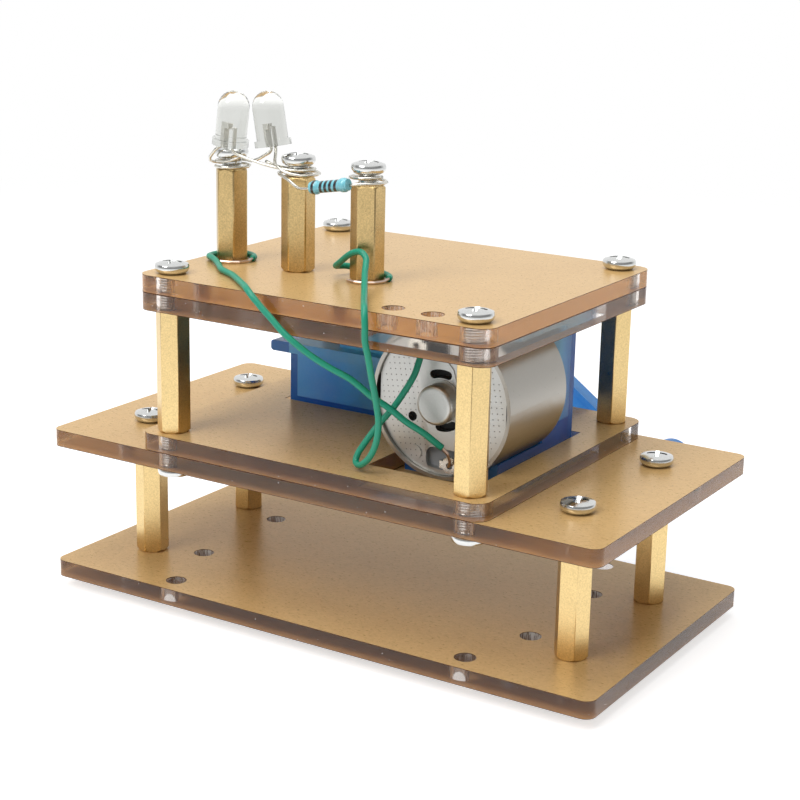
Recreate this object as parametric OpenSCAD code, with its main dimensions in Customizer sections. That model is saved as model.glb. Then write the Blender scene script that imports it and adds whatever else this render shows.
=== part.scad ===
// Hand crank generator. Five paper-faced acrylic plates on brass standoffs carry a
// geared crank and a small motor, which lights two lamps on three terminal posts.
// The origin is the centre of the base plate's underside: +X along the plates,
// +Y towards the crank, +Z up.

/* [Plates] */
// Length of the base and deck plates
base_l = 100; // [96:1:120]
// Length of the seat plate and the two roof plates
roof_l = 63; // [62:1:70]
// Depth of all five plates, front to back
plate_d = 54; // [53:1:60]
// Thickness of a plate with its paper
plate_t = 2.8; // [2.4:0.1:4]
// Radius of the long plates' corners
plate_r = 1.75; // [1:0.25:4]
// Radius of the short plates' corners
short_plate_r = 2.5; // [1:0.25:4]
// Thickness of the paper on each face
paper_t = 0.1; // [0.05:0.05:0.3]

/* [Holes] */
// Inset of the lower standoffs from the ends of the base
low_inset_x = 10; // [8:0.5:13]
// Inset of the lower standoffs from the front and back edges
low_inset_y = 13.3; // [10:0.1:15]
// Inset of the upper standoffs from the ends of the roof
top_inset_x = 4.2; // [3.8:0.1:5]
// Inset of the upper standoffs from the front and back edges
top_inset_y = 3.8; // [3.4:0.1:4.6]
// Spacing of the spare base holes along the length
spare_dx = 63; // [62:1:68]
// Spacing of the spare base holes across the depth
spare_dy = 21; // [16:1:24]
// Radius of the holes that the screws pass
hole_r = 1.7; // [1.6:0.05:1.9]
// Radius of the two lead holes in the upper roof
lead_hole_r = 1.75; // [1.5:0.05:2]
// Spacing of the two lead holes
lead_hole_gap = 6.7; // [5:0.1:10]
// Middle of the two lead holes, right of the centre
lead_hole_x = 16.75; // [14:0.25:18]
// Inset of the lead holes from the front edge
lead_hole_inset = 4; // [3.5:0.1:5]

/* [Standoffs and screws] */
// Height of the lower standoffs
low_h = 20; // [18:1:40]
// Height of the upper standoffs
top_h = 20; // [19.5:0.5:26]
// Height of the terminal posts
post_h = 15; // [14:0.5:20]
// Width of a standoff across its flats
hex_w = 4.7; // [4.6:0.1:5.5]
// Height of the turned chamfer at a standoff's ends
hex_chamfer = 0.6; // [0.2:0.05:0.8]
// Radius of a screw's shank
shank_r = 1.5; // [1.3:0.05:1.55]
// Clearance between a shank and a threaded bore
thread_gap = 0.05; // [0.02:0.01:0.1]
// Radius of a screw's head
head_r = 2.7; // [2.4:0.1:3]
// Height of a screw's head
head_h = 2; // [1.6:0.1:2.4]
// Depth of a screw in its standoff
grip = 5; // [4:0.5:6]
// Least gap between a deck screw's head and the seat plate
head_gap = 0.5; // [0.2:0.1:2]
// Gap under a post's top screw, for the wires
wire_gap = 1.6; // [1.5:0.1:2]
// Spacing of the terminal posts
post_dx = 13; // [12:0.5:14]
// Distance of the posts in front of the centre
post_y = 9.5; // [8:0.5:12]

/* [Gearbox] */
// Right side of the box, from the centre
box_right = 25.2; // [24.5:0.1:26]
// Length of the tall part of the box
box_l = 38.2; // [37:0.1:40]
// Length of the low bay at the left
bay_l = 10; // [8:0.5:11]
// Height of the low bay and its shelf
bay_h = 13.4; // [12:0.1:15]
// Front face of the box, behind the centre
box_y = 2.8; // [2.6:0.1:4]
// Thickness of the front wall
front_t = 1.2; // [1:0.05:1.4]
// Thickness of the side walls
wall_t = 1.15; // [1:0.05:1.3]
// Thickness of the rear cover
cover_t = 1.5; // [1.2:0.1:2]
// Thickness of the plate between the gear layers
mid_t = 1; // [0.8:0.1:1.4]
// Thickness of the shelf
shelf_t = 1.8; // [1.4:0.1:2.2]
// Reach of the shelf past the box, to the left
shelf_left = 2.3; // [1:0.1:3]
// Reach of the shelf past the box, to the front
shelf_front = 2.5; // [1:0.1:3]
// Width of the motor's cradle
cradle_w = 16.4; // [15:0.1:18]
// Reach of the cradle in front of the box
cradle_l = 14.2; // [10:0.2:15]
// Height of the cradle
cradle_h = 3.6; // [2:0.1:4]
// Height of the rib over the motor
rib_h = 2.4; // [1.5:0.1:2.6]
// Radius of the cover screws' posts
boss_r = 2; // [1.8:0.1:2.2]
// Inset of the cover screws from the box's sides
boss_inset = 3.3; // [3.3:0.1:3.8]
// Radius of a cover screw's shank
small_r = 0.9; // [0.8:0.05:1]
// Gap round the box in the plates' cut-outs, left, back and at the motor's sides
cut_gap = 1.1; // [0.8:0.1:1.6]
// Gap between the cut-outs and the box's front
cut_front_gap = 0.2; // [0.1:0.05:0.4]
// Room in the cut-outs in front of the motor
cut_motor_gap = 5.2; // [4:0.1:6]

/* [Gears] */
// Module of the teeth
tooth_m = 0.5; // [0.48:0.01:0.51]
// Thickness of a gear
gear_t = 1.8; // [1.6:0.05:1.9]
// Thickness of the crank gear
crank_gear_t = 1.7; // [1.5:0.05:1.8]
// Gap beside a gear
gear_gap = 0.2; // [0.15:0.05:0.3]
// Least room between the crank gear's teeth and the box's left wall
gear_room = 2; // [1.6:0.1:2.4]
// Slack between teeth, at the pitch circle
backlash = 0.14; // [0.1:0.01:0.2]
// Radius of the gear pins
pin_r = 0.75; // [0.6:0.05:0.9]
// Least gap between the crank's shaft and the third gear's pin
pin_gap = 0.75; // [0.5:0.05:0.95]
// Radius of the sleeve that joins the second gear's two halves
sleeve_r = 1.4; // [1.3:0.05:1.5]
// Running clearance of shafts and pins
run_gap = 0.05; // [0.03:0.01:0.08]
// Gap of a pressed fit
press_gap = 0.01; // [0.005:0.005:0.02]

/* [Motor] */
// Radius of the motor's can
can_r = 12; // [11.5:0.1:12.2]
// Length of the can
can_l = 17.8; // [17:0.1:19]
// Wall of the can
can_t = 0.6; // [0.5:0.05:0.9]
// Depth of the end cap's face inside the rim
cap_inset = 0.6; // [0.4:0.05:0.8]
// Thickness of the end cap
cap_t = 1; // [0.8:0.05:1.2]
// Radius of the bearing bosses
nose_r = 3.1; // [2.8:0.05:3.3]
// Reach of the front bearing boss past the cap
nose_l = 2.6; // [2.2:0.1:3]
// Radius of the motor's shaft
rotor_shaft_r = 1; // [0.9:0.05:1.1]
// Radius of the bearing bushes
bush_r = 2; // [1.8:0.05:2.2]
// Thickness of the motor's terminals
tag_t = 0.4; // [0.3:0.05:0.5]
// Radius of the terminals' eyes
eye_r = 1.3; // [1.1:0.05:1.4]

/* [Crank] */
// Radius of the crank's shaft
crank_shaft_r = 2; // [1.8:0.05:2.2]
// Radius of the crank's hub
hub_r = 4; // [3.6:0.1:4.5]
// Gap between the plates' back edge and the arm
arm_gap = 1.5; // [1:0.1:3]
// Thickness of the arm
arm_t = 3; // [2.6:0.1:4]
// Half width of the arm
arm_w = 3.9; // [3.5:0.1:4.5]
// Distance from the crank's axis to the knob's
arm_l = 36; // [30:1:37]
// Angle of the arm below level
arm_turn = 35.5; // [0:0.5:90]
// Width of the arm's rim
rim_w = 1.2; // [0.8:0.1:1.5]
// Depth of the web on each side of the arm
web_cut = 0.8; // [0.5:0.1:1]
// Radius of the knob
knob_r = 3.5; // [3:0.1:3.8]
// Length of the knob
knob_l = 12; // [10:0.5:16]
// Radius of the knob's pin
knob_pin_r = 1.25; // [1:0.05:1.4]

/* [Lamps and resistor] */
// Radius of a lamp's body
lamp_r = 2.5; // [2.3:0.05:2.6]
// Height of a lamp
lamp_h = 8.6; // [8:0.1:9]
// Radius of a lamp's flange
flange_r = 2.9; // [2.7:0.05:3]
// Thickness of a lamp's flange
flange_t = 1; // [0.8:0.05:1.1]
// Spacing of a lamp's leads
lamp_pitch = 2.54; // [2.4:0.02:2.6]
// Thickness of the wire of the lamps and the resistor
wire_d = 0.5; // [0.4:0.02:0.5]
// Length of the resistor
res_l = 6.9; // [6.4:0.1:7.2]
// Radius of the resistor's end caps
res_cap_r = 1.1; // [1:0.05:1.2]
// Radius of the resistor's barrel
res_r = 0.92; // [0.8:0.02:0.98]

/* [Leads] */
// Thickness of a green lead
lead_d = 1; // [0.8:0.05:1]
// Thickness of a lead's bare core
core_d = 0.5; // [0.4:0.02:0.5]

/* [Hidden] */
$fn = 48;
// Overrun of every cut
over = 0.5;

// Levels, from the underside of the base
deck_z = plate_t + low_h;
seat_z = deck_z + plate_t;
low_roof_z = seat_z + plate_t + top_h;
top_roof_z = low_roof_z + plate_t;
roof_top = top_roof_z + plate_t;
post_top = roof_top + post_h;
axis_z = (seat_z + top_roof_z) / 2;

// Places of the holes
low_x = max(base_l / 2 - low_inset_x, roof_l / 2 + head_r + head_gap);
low_y = plate_d / 2 - low_inset_y;
top_x = roof_l / 2 - top_inset_x;
top_y = plate_d / 2 - top_inset_y;
function corners(x, y) = [[-x, -y], [-x, y], [x, -y], [x, y]];
low_spots = corners(low_x, low_y);
top_spots = corners(top_x, top_y);
spare_spots = corners(spare_dx / 2, spare_dy / 2);
post_spots = [for (i = [2:-1:0]) [-i * post_dx, -post_y]];
lead_spots = [for (side = [-1, 1]) [lead_hole_x + side * lead_hole_gap / 2, lead_hole_inset - plate_d / 2]];

// How far each hexagon is turned, in degrees
low_turns = [40, 5, 6, 55];
top_turns = [24, 5, 54, 55];
post_turns = [13, 30, 27];
hex_r = hex_w / 2 / cos(30);

// Gearbox
box_left = box_right - box_l;
bay_left = box_left - bay_l;
box_h = top_roof_z - seat_z;
shelf_top = seat_z + bay_h;
mid_y = box_y + front_t + 2 * gear_gap + 2 * gear_t + 2 * gear_gap;
rear_y = mid_y + mid_t + gear_gap;
cover_y = rear_y + crank_gear_t + gear_gap;
box_back = cover_y + cover_t;
front_y = box_y + front_t + gear_gap;
second_y = front_y + gear_t + 2 * gear_gap;
motor_x = box_right - cradle_w / 2;
boss_spots = [for (x = [box_left + boss_inset, box_right - boss_inset],
    z = [seat_z + boss_inset, top_roof_z - boss_inset]) [x, z]];

// Gear train: crank gear, second gear, third gear, motor pinion
pinion_teeth = 10;
tooth_top_share = 0.8;
tooth_foot_share = 1.1;
// Teeth that the third gear's small wheel has less than a big one, for the pin to clear the shaft
fewer_teeth = 2 * ceil((crank_shaft_r + pin_r + pin_gap) / tooth_m);
// The big wheels have as many teeth as the box's length and height leave room for, an even number
long_teeth = (motor_x - box_left - wall_t - gear_room) / tooth_m
    - (fewer_teeth + pinion_teeth) / 2 - tooth_top_share;
high_teeth = 2 * ((box_h / 2 - wall_t - gear_gap) / tooth_m - tooth_top_share);
big_teeth = 2 * floor(min(long_teeth, high_teeth) / 2);
wheel_teeth = big_teeth - fewer_teeth;
second_x = motor_x - tooth_m * (big_teeth - wheel_teeth) / 2;
third_x = motor_x - tooth_m * (big_teeth + pinion_teeth) / 2;
half_turn_of_pinion = 180 / pinion_teeth;
tooth_top = tooth_top_share * tooth_m;
tooth_foot = tooth_foot_share * tooth_m;
pressure = 20;

// Motor
can_front = box_y - can_l;
cap_y = can_front + cap_inset;
cap_back = cap_y + cap_t;
holder_t = cap_t * 1.2;
nose_front = cap_y - nose_l;
can_in_r = can_r - can_t;
shaft_front = nose_front + can_t;

// Crank
crank_x = second_x - tooth_m * (big_teeth + pinion_teeth) / 2;
arm_y = plate_d / 2 + arm_gap;
arm_back = arm_y + arm_t;
hub_y = box_back + 3 * gear_gap;
knob_y = arm_back + gear_gap;
knob_end = knob_y + knob_l;
knob_x = crank_x + arm_l * cos(arm_turn);
knob_z = axis_z - arm_l * sin(arm_turn);

module along_y(y0, y1) {
    translate([0, y1, 0])
        rotate([90, 0, 0])
            linear_extrude(y1 - y0)
                children();
}

module rod(x, z, r, y0, y1) {
    along_y(y0, y1)
        translate([x, z])
            circle(r = r);
}

module rounded(w, d, r) {
    square([w, d - 2 * r], center = true);
    square([w - 2 * r, d], center = true);
    for (p = corners(w / 2 - r, d / 2 - r))
        translate(p)
            circle(r = r);
}

module holes(spots, r) {
    for (p = spots)
        translate(p)
            circle(r = r);
}

module cut_out() {
    cut_back = box_back + cut_gap;
    motor_cut = cradle_w / 2 + cut_gap;
    translate([bay_left - cut_gap, box_y - cut_front_gap])
        square([box_right - bay_left + 2 * cut_gap, cut_back - box_y + cut_front_gap]);
    translate([motor_x - motor_cut, can_front - cut_motor_gap])
        square([2 * motor_cut, cut_back - can_front + cut_motor_gap]);
}

module base_outline() {
    difference() {
        rounded(base_l, plate_d, plate_r);
        holes(low_spots, hole_r);
        holes(top_spots, hole_r);
        holes(spare_spots, hole_r);
    }
}

module deck_outline() {
    difference() {
        rounded(base_l, plate_d, plate_r);
        holes(low_spots, hole_r);
        holes(top_spots, hole_r);
    }
}

module seat_outline() {
    difference() {
        rounded(roof_l, plate_d, short_plate_r);
        holes(top_spots, hole_r);
        cut_out();
    }
}

module low_roof_outline() {
    difference() {
        seat_outline();
        holes(post_spots, hole_r);
    }
}

module top_roof_outline() {
    difference() {
        rounded(roof_l, plate_d, short_plate_r);
        holes(top_spots, hole_r);
        holes(post_spots, hole_r);
        holes(lead_spots, lead_hole_r);
    }
}

module acrylic(z) {
    color([0.75, 0.5, 0.36])
        translate([0, 0, z + paper_t])
            linear_extrude(plate_t - 2 * paper_t)
                children();
}

module papers(z) {
    color([0.83, 0.65, 0.42])
        for (level = [z, z + plate_t - paper_t])
            translate([0, 0, level])
                linear_extrude(paper_t)
                    children();
}

module base_plate() acrylic(0) base_outline();
module deck_plate() acrylic(deck_z) deck_outline();
module seat_plate() acrylic(seat_z) seat_outline();
module lower_roof_plate() acrylic(low_roof_z) low_roof_outline();
module upper_roof_plate() acrylic(top_roof_z) top_roof_outline();
module paper_base() papers(0) base_outline();
module paper_deck() papers(deck_z) deck_outline();
module paper_seat() papers(seat_z) seat_outline();
module paper_lower_roof() papers(low_roof_z) low_roof_outline();
module paper_upper_roof() papers(top_roof_z) top_roof_outline();

// A hexagon bar, turned down at both ends and bored through for the screws
module hex_bar(h, turn) {
    end_r = hex_w * 0.48;
    wide_r = hex_r * 1.05;
    difference() {
        intersection() {
            rotate([0, 0, turn])
                cylinder(h = h, r = hex_r, $fn = 6);
            rotate_extrude()
                polygon([[0, 0], [end_r, 0], [wide_r, hex_chamfer],
                    [wide_r, h - hex_chamfer], [end_r, h], [0, h]]);
        }
        translate([0, 0, -over])
            cylinder(h = h + 2 * over, r = shank_r + thread_gap);
    }
}

module bars(spots, turns, z, h) {
    color([0.83, 0.66, 0.31])
        for (i = [0:len(spots) - 1])
            translate([spots[i][0], spots[i][1], z])
                hex_bar(h, turns[i]);
}

module lower_standoffs() bars(low_spots, low_turns, plate_t, low_h);
module upper_standoffs() bars(top_spots, top_turns, seat_z + plate_t, top_h);
module terminal_posts() bars(post_spots, post_turns, roof_top, post_h);

// A pan head screw with a cross recess, pointing down from its seat at z = 0
module screw(shank, r, wide, high) {
    crown = wide * 2.6;
    slot = wide * 0.24;
    deep = high * 0.6;
    difference() {
        rotate_extrude()
            intersection() {
                union() {
                    square([wide - high / 2, high]);
                    translate([wide - high / 2, high / 2])
                        circle(r = high / 2);
                }
                translate([0, high - crown])
                    circle(r = crown, $fn = 96);
                square([wide, high]);
            }
        translate([0, 0, high - deep])
            intersection() {
                cylinder(h = high, r1 = wide * 0.22, r2 = wide * 0.95);
                for (turn = [20, 110])
                    rotate([0, 0, turn])
                        translate([-wide, -slot / 2, 0])
                            cube([2 * wide, slot, high]);
            }
    }
    translate([0, 0, -shank])
        cylinder(h = shank, r = r);
}

module screws(spots, z, shank, flip) {
    color([0.78, 0.8, 0.82])
        for (p = spots)
            translate([p[0], p[1], z])
                rotate([flip ? 180 : 0, 0, 0])
                    screw(shank, shank_r, head_r, head_h);
}

module base_screws() screws(low_spots, 0, plate_t + grip, true);
module deck_screws() screws(low_spots, seat_z, plate_t + grip, false);
module seat_screws() screws(top_spots, deck_z, 2 * plate_t + grip, true);
module roof_screws() screws(top_spots, roof_top, 2 * plate_t + grip, false);
module post_base_screws() screws(post_spots, low_roof_z, 2 * plate_t + grip, true);
module post_top_screws() screws(post_spots, post_top + wire_gap, wire_gap + grip, false);

module box_outline(inset) {
    translate([box_left + inset, seat_z + inset])
        square([box_l - 2 * inset, box_h - 2 * inset]);
}

module bay_outline(inset) {
    translate([bay_left + inset, seat_z + inset])
        square([bay_l - inset, bay_h - 2 * inset]);
}

module motor_seat() {
    rod(motor_x, axis_z, can_r + run_gap, can_front - over, box_y);
}

module gear_case() {
    shelf_r = shelf_t * 0.3;
    color([0.25, 0.5, 0.85])
        difference() {
            union() {
                along_y(box_y, cover_y) {
                    box_outline(0);
                    translate([bay_left, seat_z])
                        square([bay_l + wall_t, bay_h]);
                }
                along_y(box_y - shelf_front, cover_y)
                    translate([bay_left - shelf_left / 2 + wall_t / 2, shelf_top - shelf_t / 2])
                        rounded(shelf_left + wall_t, shelf_t, shelf_r);
                along_y(box_y - shelf_front, box_y + front_t)
                    translate([bay_left, shelf_top - shelf_t])
                        square([motor_x - can_r - shelf_r - bay_left, shelf_t]);
                along_y(box_y - cradle_l, box_y + front_t) {
                    translate([motor_x - cradle_w / 2, seat_z])
                        square([cradle_w, cradle_h]);
                    translate([motor_x - cradle_w / 2, top_roof_z - rib_h])
                        square([cradle_w, rib_h]);
                }
            }
            along_y(box_y + front_t, cover_y + over) {
                box_outline(wall_t);
                bay_outline(wall_t);
            }
            motor_seat();
            rod(motor_x, axis_z, nose_r + press_gap, box_y - over, front_y);
            rod(third_x, axis_z, pin_r + press_gap, box_y + pin_r / 2, front_y);
        }
    color([0.25, 0.5, 0.85])
        for (p = boss_spots)
            difference() {
                rod(p[0], p[1], boss_r, box_y + front_t, mid_y);
                rod(p[0], p[1], small_r + thread_gap, box_y + front_t + small_r, mid_y + over);
            }
}

module gear_cover() {
    seat_r = crank_shaft_r + run_gap;
    color([0.14, 0.27, 0.66])
        difference() {
            union() {
                along_y(cover_y, box_back) {
                    box_outline(0);
                    translate([bay_left, seat_z])
                        square([bay_l + wall_t, bay_h]);
                }
                rod(crank_x, axis_z, hub_r, cover_y, box_back + 2 * gear_gap);
                for (p = boss_spots)
                    rod(p[0], p[1], boss_r, mid_y + mid_t, box_back);
            }
            rod(crank_x, axis_z, seat_r, cover_y - over, box_back + over);
            rod(second_x, axis_z, pin_r + press_gap, cover_y - over, box_back - pin_r / 2);
            for (p = boss_spots)
                rod(p[0], p[1], small_r + 2 * thread_gap, mid_y, box_back + over);
        }
}

module gear_mid_plate() {
    color([0.9, 0.9, 0.88])
        difference() {
            along_y(mid_y, mid_y + mid_t)
                box_outline(wall_t + run_gap);
            rod(crank_x, axis_z, crank_shaft_r + run_gap, mid_y - over, rear_y);
            rod(second_x, axis_z, sleeve_r + gear_gap, mid_y - over, rear_y);
            rod(third_x, axis_z, pin_r + press_gap, mid_y - over, rear_y);
            for (p = boss_spots)
                rod(p[0], p[1], small_r + 2 * thread_gap, mid_y - over, rear_y);
        }
}

module cover_screws() {
    color([0.75, 0.76, 0.78])
        for (p = boss_spots)
            translate([p[0], box_back, p[1]])
                rotate([-90, 0, 0])
                    screw(box_back - mid_y + 2 * small_r, small_r, boss_r * 0.9, head_h / 2);
}

module gear_pins() {
    color([0.75, 0.76, 0.78]) {
        rod(second_x, axis_z, pin_r, second_y + gear_gap / 2, box_back - pin_r / 2);
        rod(third_x, axis_z, pin_r, box_y + pin_r / 2, mid_y + mid_t);
    }
}

// Half the angle of a tooth at radius r, for the involute of a base circle
function involute(r, base) = let (a = acos(min(1, base / r))) tan(a) * 180 / PI - a;
function half_tooth(n, r) = let (pitch = n * tooth_m / 2, base = pitch * cos(pressure))
    90 / n - backlash / 4 / pitch * 180 / PI + involute(pitch, base) - involute(r, base);
function polar(r, a) = [r * cos(a), r * sin(a)];
function tooth(n, turn) = let (
        pitch = n * tooth_m / 2,
        low = max(pitch * cos(pressure), pitch - tooth_foot),
        radii = [low, (low + pitch) / 2, pitch, pitch + tooth_top / 2, pitch + tooth_top])
    concat([polar(pitch - tooth_foot, turn - half_tooth(n, low))],
        [for (r = radii) polar(r, turn - half_tooth(n, r))],
        [for (i = [4:-1:0]) polar(radii[i], turn + half_tooth(n, radii[i]))],
        [polar(pitch - tooth_foot, turn + half_tooth(n, low))]);

module teeth(n, phase, x, y0, y1) {
    along_y(y0, y1)
        translate([x, axis_z])
            polygon([for (i = [0:n - 1]) each tooth(n, phase + i * 360 / n)]);
}

module crank_gear() {
    color([0.93, 0.93, 0.9])
        difference() {
            teeth(big_teeth, 0, crank_x, rear_y, rear_y + crank_gear_t);
            rod(crank_x, axis_z, crank_shaft_r + press_gap, rear_y - over, cover_y);
        }
}

module second_gear() {
    wheel_end = second_y + gear_t;
    color([0.93, 0.93, 0.9])
        difference() {
            union() {
                teeth(wheel_teeth, 0, second_x, second_y, wheel_end);
                rod(second_x, axis_z, sleeve_r, wheel_end - over, rear_y + over);
                teeth(pinion_teeth, half_turn_of_pinion, second_x, rear_y, rear_y + crank_gear_t);
            }
            rod(second_x, axis_z, pin_r + run_gap, second_y - over, cover_y);
        }
}

module third_gear() {
    color([0.93, 0.93, 0.9])
        difference() {
            union() {
                teeth(big_teeth, 0, third_x, front_y, front_y + gear_t);
                teeth(pinion_teeth, half_turn_of_pinion, third_x, front_y + gear_t - over,
                    second_y + gear_t);
            }
            rod(third_x, axis_z, pin_r + run_gap, front_y - over, mid_y);
        }
}

module motor_pinion() {
    color([0.85, 0.7, 0.4])
        difference() {
            teeth(pinion_teeth, half_turn_of_pinion, motor_x, front_y, front_y + gear_t);
            rod(motor_x, axis_z, rotor_shaft_r + press_gap, front_y - over, mid_y);
        }
}

module motor_can() {
    notch_w = can_r / 6;
    rear_t = can_t * 1.2;
    color([0.72, 0.71, 0.69])
        difference() {
            union() {
                rod(motor_x, axis_z, can_r, can_front, box_y);
                rod(motor_x, axis_z, nose_r, box_y - can_t, box_y + front_t);
            }
            rod(motor_x, axis_z, can_in_r, can_front - over, box_y - rear_t);
            rod(motor_x, axis_z, bush_r + press_gap, box_y - can_t - over, front_y);
            for (turn = [45, 225])
                translate([motor_x, can_front - over, axis_z])
                    rotate([0, turn, 0])
                        translate([can_in_r - can_t, 0, -notch_w / 2])
                            cube([can_r, over + cap_inset, notch_w]);
        }
}

// Spots on the cap's face, in shares of its radius, right and up from the axis
slot_spot_shares = [-0.022, 0.37];
low_slot_spot_shares = [0.078, -0.312];
hole_spot_shares = [-0.43, -0.249];
dimple_spot_shares = [-0.378, -0.712];
window_low_shares = [-0.218, -0.9];
window_high_shares = [0.35, -0.6];
eye_spot_shares = [0.193, -0.768];
band_shares = [[-0.3, 0.9], [-0.258, 0.48], [-0.338, 0.1], [-0.153, -0.448], [0.3, -0.9],
    [0.258, -0.48], [0.338, -0.1], [0.153, 0.448]];
slot_w = can_r * 0.32;
slot_h = can_r * 0.11;
slot_far = 2 * can_r;

// A slot bent round the nose, with rounded ends
module slot(spot) {
    away = can_r * norm(spot);
    half_turn = (slot_w - slot_h) / away * 90 / PI;
    rotate(atan2(spot.y, spot.x)) {
        intersection() {
            difference() {
                circle(r = away + slot_h / 2);
                circle(r = away - slot_h / 2);
            }
            polygon([[0, 0], slot_far * [cos(half_turn), -sin(half_turn)],
                slot_far * [cos(half_turn), sin(half_turn)]]);
        }
        for (side = [-1, 1])
            rotate(side * half_turn)
                translate([away, 0])
                    circle(r = slot_h / 2);
    }
}

module window() {
    size = can_r * (window_high_shares - window_low_shares);
    middle = can_r * (window_high_shares + window_low_shares) / 2;
    intersection() {
        translate(middle)
            rounded(size[0], size[1], slot_h);
        circle(r = can_in_r * 0.93);
    }
}

module motor_end_cap() {
    disc_r = can_in_r - run_gap;
    raised = cap_t * 0.15;
    color([0.8, 0.81, 0.8])
        difference() {
            union() {
                along_y(cap_y, cap_back)
                    translate([motor_x, axis_z])
                        intersection() {
                            circle(r = disc_r);
                            square([disc_r * 1.93, 2 * disc_r], center = true);
                        }
                along_y(cap_y - raised, cap_y + raised)
                    translate([motor_x, axis_z])
                        intersection() {
                            circle(r = disc_r * 0.95);
                            polygon([for (p = band_shares) can_r * p]);
                        }
                translate([motor_x, cap_y + raised, axis_z])
                    rotate([90, 0, 0])
                        rotate_extrude()
                            nose_outline();
                rod(motor_x + can_r * dimple_spot_shares[0], axis_z + can_r * dimple_spot_shares[1],
                    slot_h * 0.85, cap_y - raised, cap_y + raised);
            }
            along_y(nose_front - over, cap_back + over)
                translate([motor_x, axis_z]) {
                    slot(slot_spot_shares);
                    slot(low_slot_spot_shares);
                    translate(can_r * hole_spot_shares)
                        circle(r = slot_h * 0.57);
                    window();
                    rotate(180)
                        window();
                }
            rod(motor_x, axis_z, bush_r + press_gap, shaft_front - rotor_shaft_r / 4, cap_back + over);
        }
}

// The bearing boss: a ring step, a straight side and a rounded nose
module nose_outline() {
    high = nose_l + cap_t * 0.15;
    edge = nose_r * 0.22;
    square([nose_r, high - edge]);
    square([nose_r - edge, high]);
    translate([nose_r - edge, high - edge])
        circle(r = edge);
    square([nose_r * 1.15, cap_t * 0.45]);
}

module brush_holder() {
    color([0.45, 0.46, 0.48])
        difference() {
            rod(motor_x, axis_z, can_in_r - run_gap, cap_back, cap_back + holder_t);
            rod(motor_x, axis_z, rotor_shaft_r * 1.6, cap_back - over, cap_back + holder_t + over);
        }
}

module motor_terminals() {
    eye_back = can_front - tag_t;
    stem = eye_r * 0.9;
    color([0.82, 0.8, 0.74])
        for (turn = [0, 180])
            translate([motor_x, 0, axis_z])
                rotate([0, turn, 0]) {
                    difference() {
                        union() {
                            rod(can_r * eye_spot_shares[0], can_r * eye_spot_shares[1], eye_r,
                                eye_back - tag_t, eye_back);
                            translate([can_r * eye_spot_shares[0] - eye_r - tag_t, eye_back - tag_t,
                                    can_r * eye_spot_shares[1] - stem / 2])
                                cube([eye_r + tag_t, tag_t, stem]);
                        }
                        rod(can_r * eye_spot_shares[0], can_r * eye_spot_shares[1], core_d * 1.1,
                            eye_back - tag_t - over, eye_back + over);
                    }
                    translate([can_r * eye_spot_shares[0] - eye_r - tag_t, eye_back - tag_t,
                            can_r * eye_spot_shares[1] - stem / 2])
                        cube([tag_t, cap_back - eye_back + tag_t, stem]);
                }
}

rotor_front = can_front + can_l * 0.39;
rotor_back = can_front + can_l * 0.73;
rotor_r = can_r * 0.68;
brush_front = cap_back + holder_t;

module motor_magnets() {
    color([0.3, 0.3, 0.32])
        along_y(rotor_front - tag_t, rotor_back + tag_t)
            translate([motor_x, axis_z])
                difference() {
                    circle(r = can_in_r - run_gap);
                    circle(r = rotor_r + tag_t);
                    square([rotor_r, 2 * can_r], center = true);
                }
}

module motor_bushes() {
    bore = rotor_shaft_r + run_gap;
    color([0.7, 0.5, 0.25]) {
        difference() {
            rod(motor_x, axis_z, bush_r, shaft_front, cap_back);
            rod(motor_x, axis_z, bore, shaft_front - over, cap_back + over);
        }
        difference() {
            rod(motor_x, axis_z, bush_r, box_y - can_t, box_y + front_t - gear_gap / 2);
            rod(motor_x, axis_z, bore, box_y - can_t - over, front_y);
        }
    }
}

module motor_brushes() {
    size = rotor_shaft_r * 1.5;
    color([0.25, 0.22, 0.2])
        for (turn = [0, 180])
            translate([motor_x, brush_front, axis_z])
                rotate([0, turn, 0])
                    translate([-size / 2, 0, rotor_shaft_r * 2.2 + run_gap])
                        cube([size, size, 2 * size]);
}

module motor_shaft() {
    color([0.75, 0.76, 0.78])
        rod(motor_x, axis_z, rotor_shaft_r, shaft_front + gear_gap, front_y + gear_t + gear_gap);
}

pole_w = rotor_r * 0.3;
pole_root = rotor_r * 0.34;
shoe_r = rotor_r * 0.78;

module rotor_core() {
    color([0.55, 0.55, 0.57])
        along_y(rotor_front, rotor_back)
            translate([motor_x, axis_z])
                difference() {
                    union() {
                        circle(r = pole_root);
                        difference() {
                            circle(r = rotor_r);
                            circle(r = shoe_r);
                            for (turn = [0, 120, 240])
                                rotate(turn + 60)
                                    translate([0, -pole_w / 4])
                                        square([2 * rotor_r, pole_w / 2]);
                        }
                        for (turn = [0, 120, 240])
                            rotate(turn)
                                translate([0, -pole_w / 2])
                                    square([shoe_r + pole_w / 4, pole_w]);
                    }
                    circle(r = rotor_shaft_r + press_gap);
                }
}

module rotor_windings() {
    coil_w = pole_w * 2.4;
    core_l = rotor_back - rotor_front;
    coil_over = pole_w / 3;
    coil_in = pole_root + run_gap;
    coil_out = sqrt(shoe_r * shoe_r - coil_w * coil_w / 4) - run_gap;
    color([0.72, 0.35, 0.15])
        for (turn = [0, 120, 240])
            translate([motor_x, (rotor_front + rotor_back) / 2, axis_z])
                rotate([0, turn, 0])
                    difference() {
                        translate([(coil_in + coil_out) / 2, 0, 0])
                            cube([coil_out - coil_in, core_l + 2 * coil_over, coil_w], center = true);
                        cube([2 * rotor_r, core_l + 2 * press_gap, pole_w + 2 * press_gap],
                            center = true);
                    }
}

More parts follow.
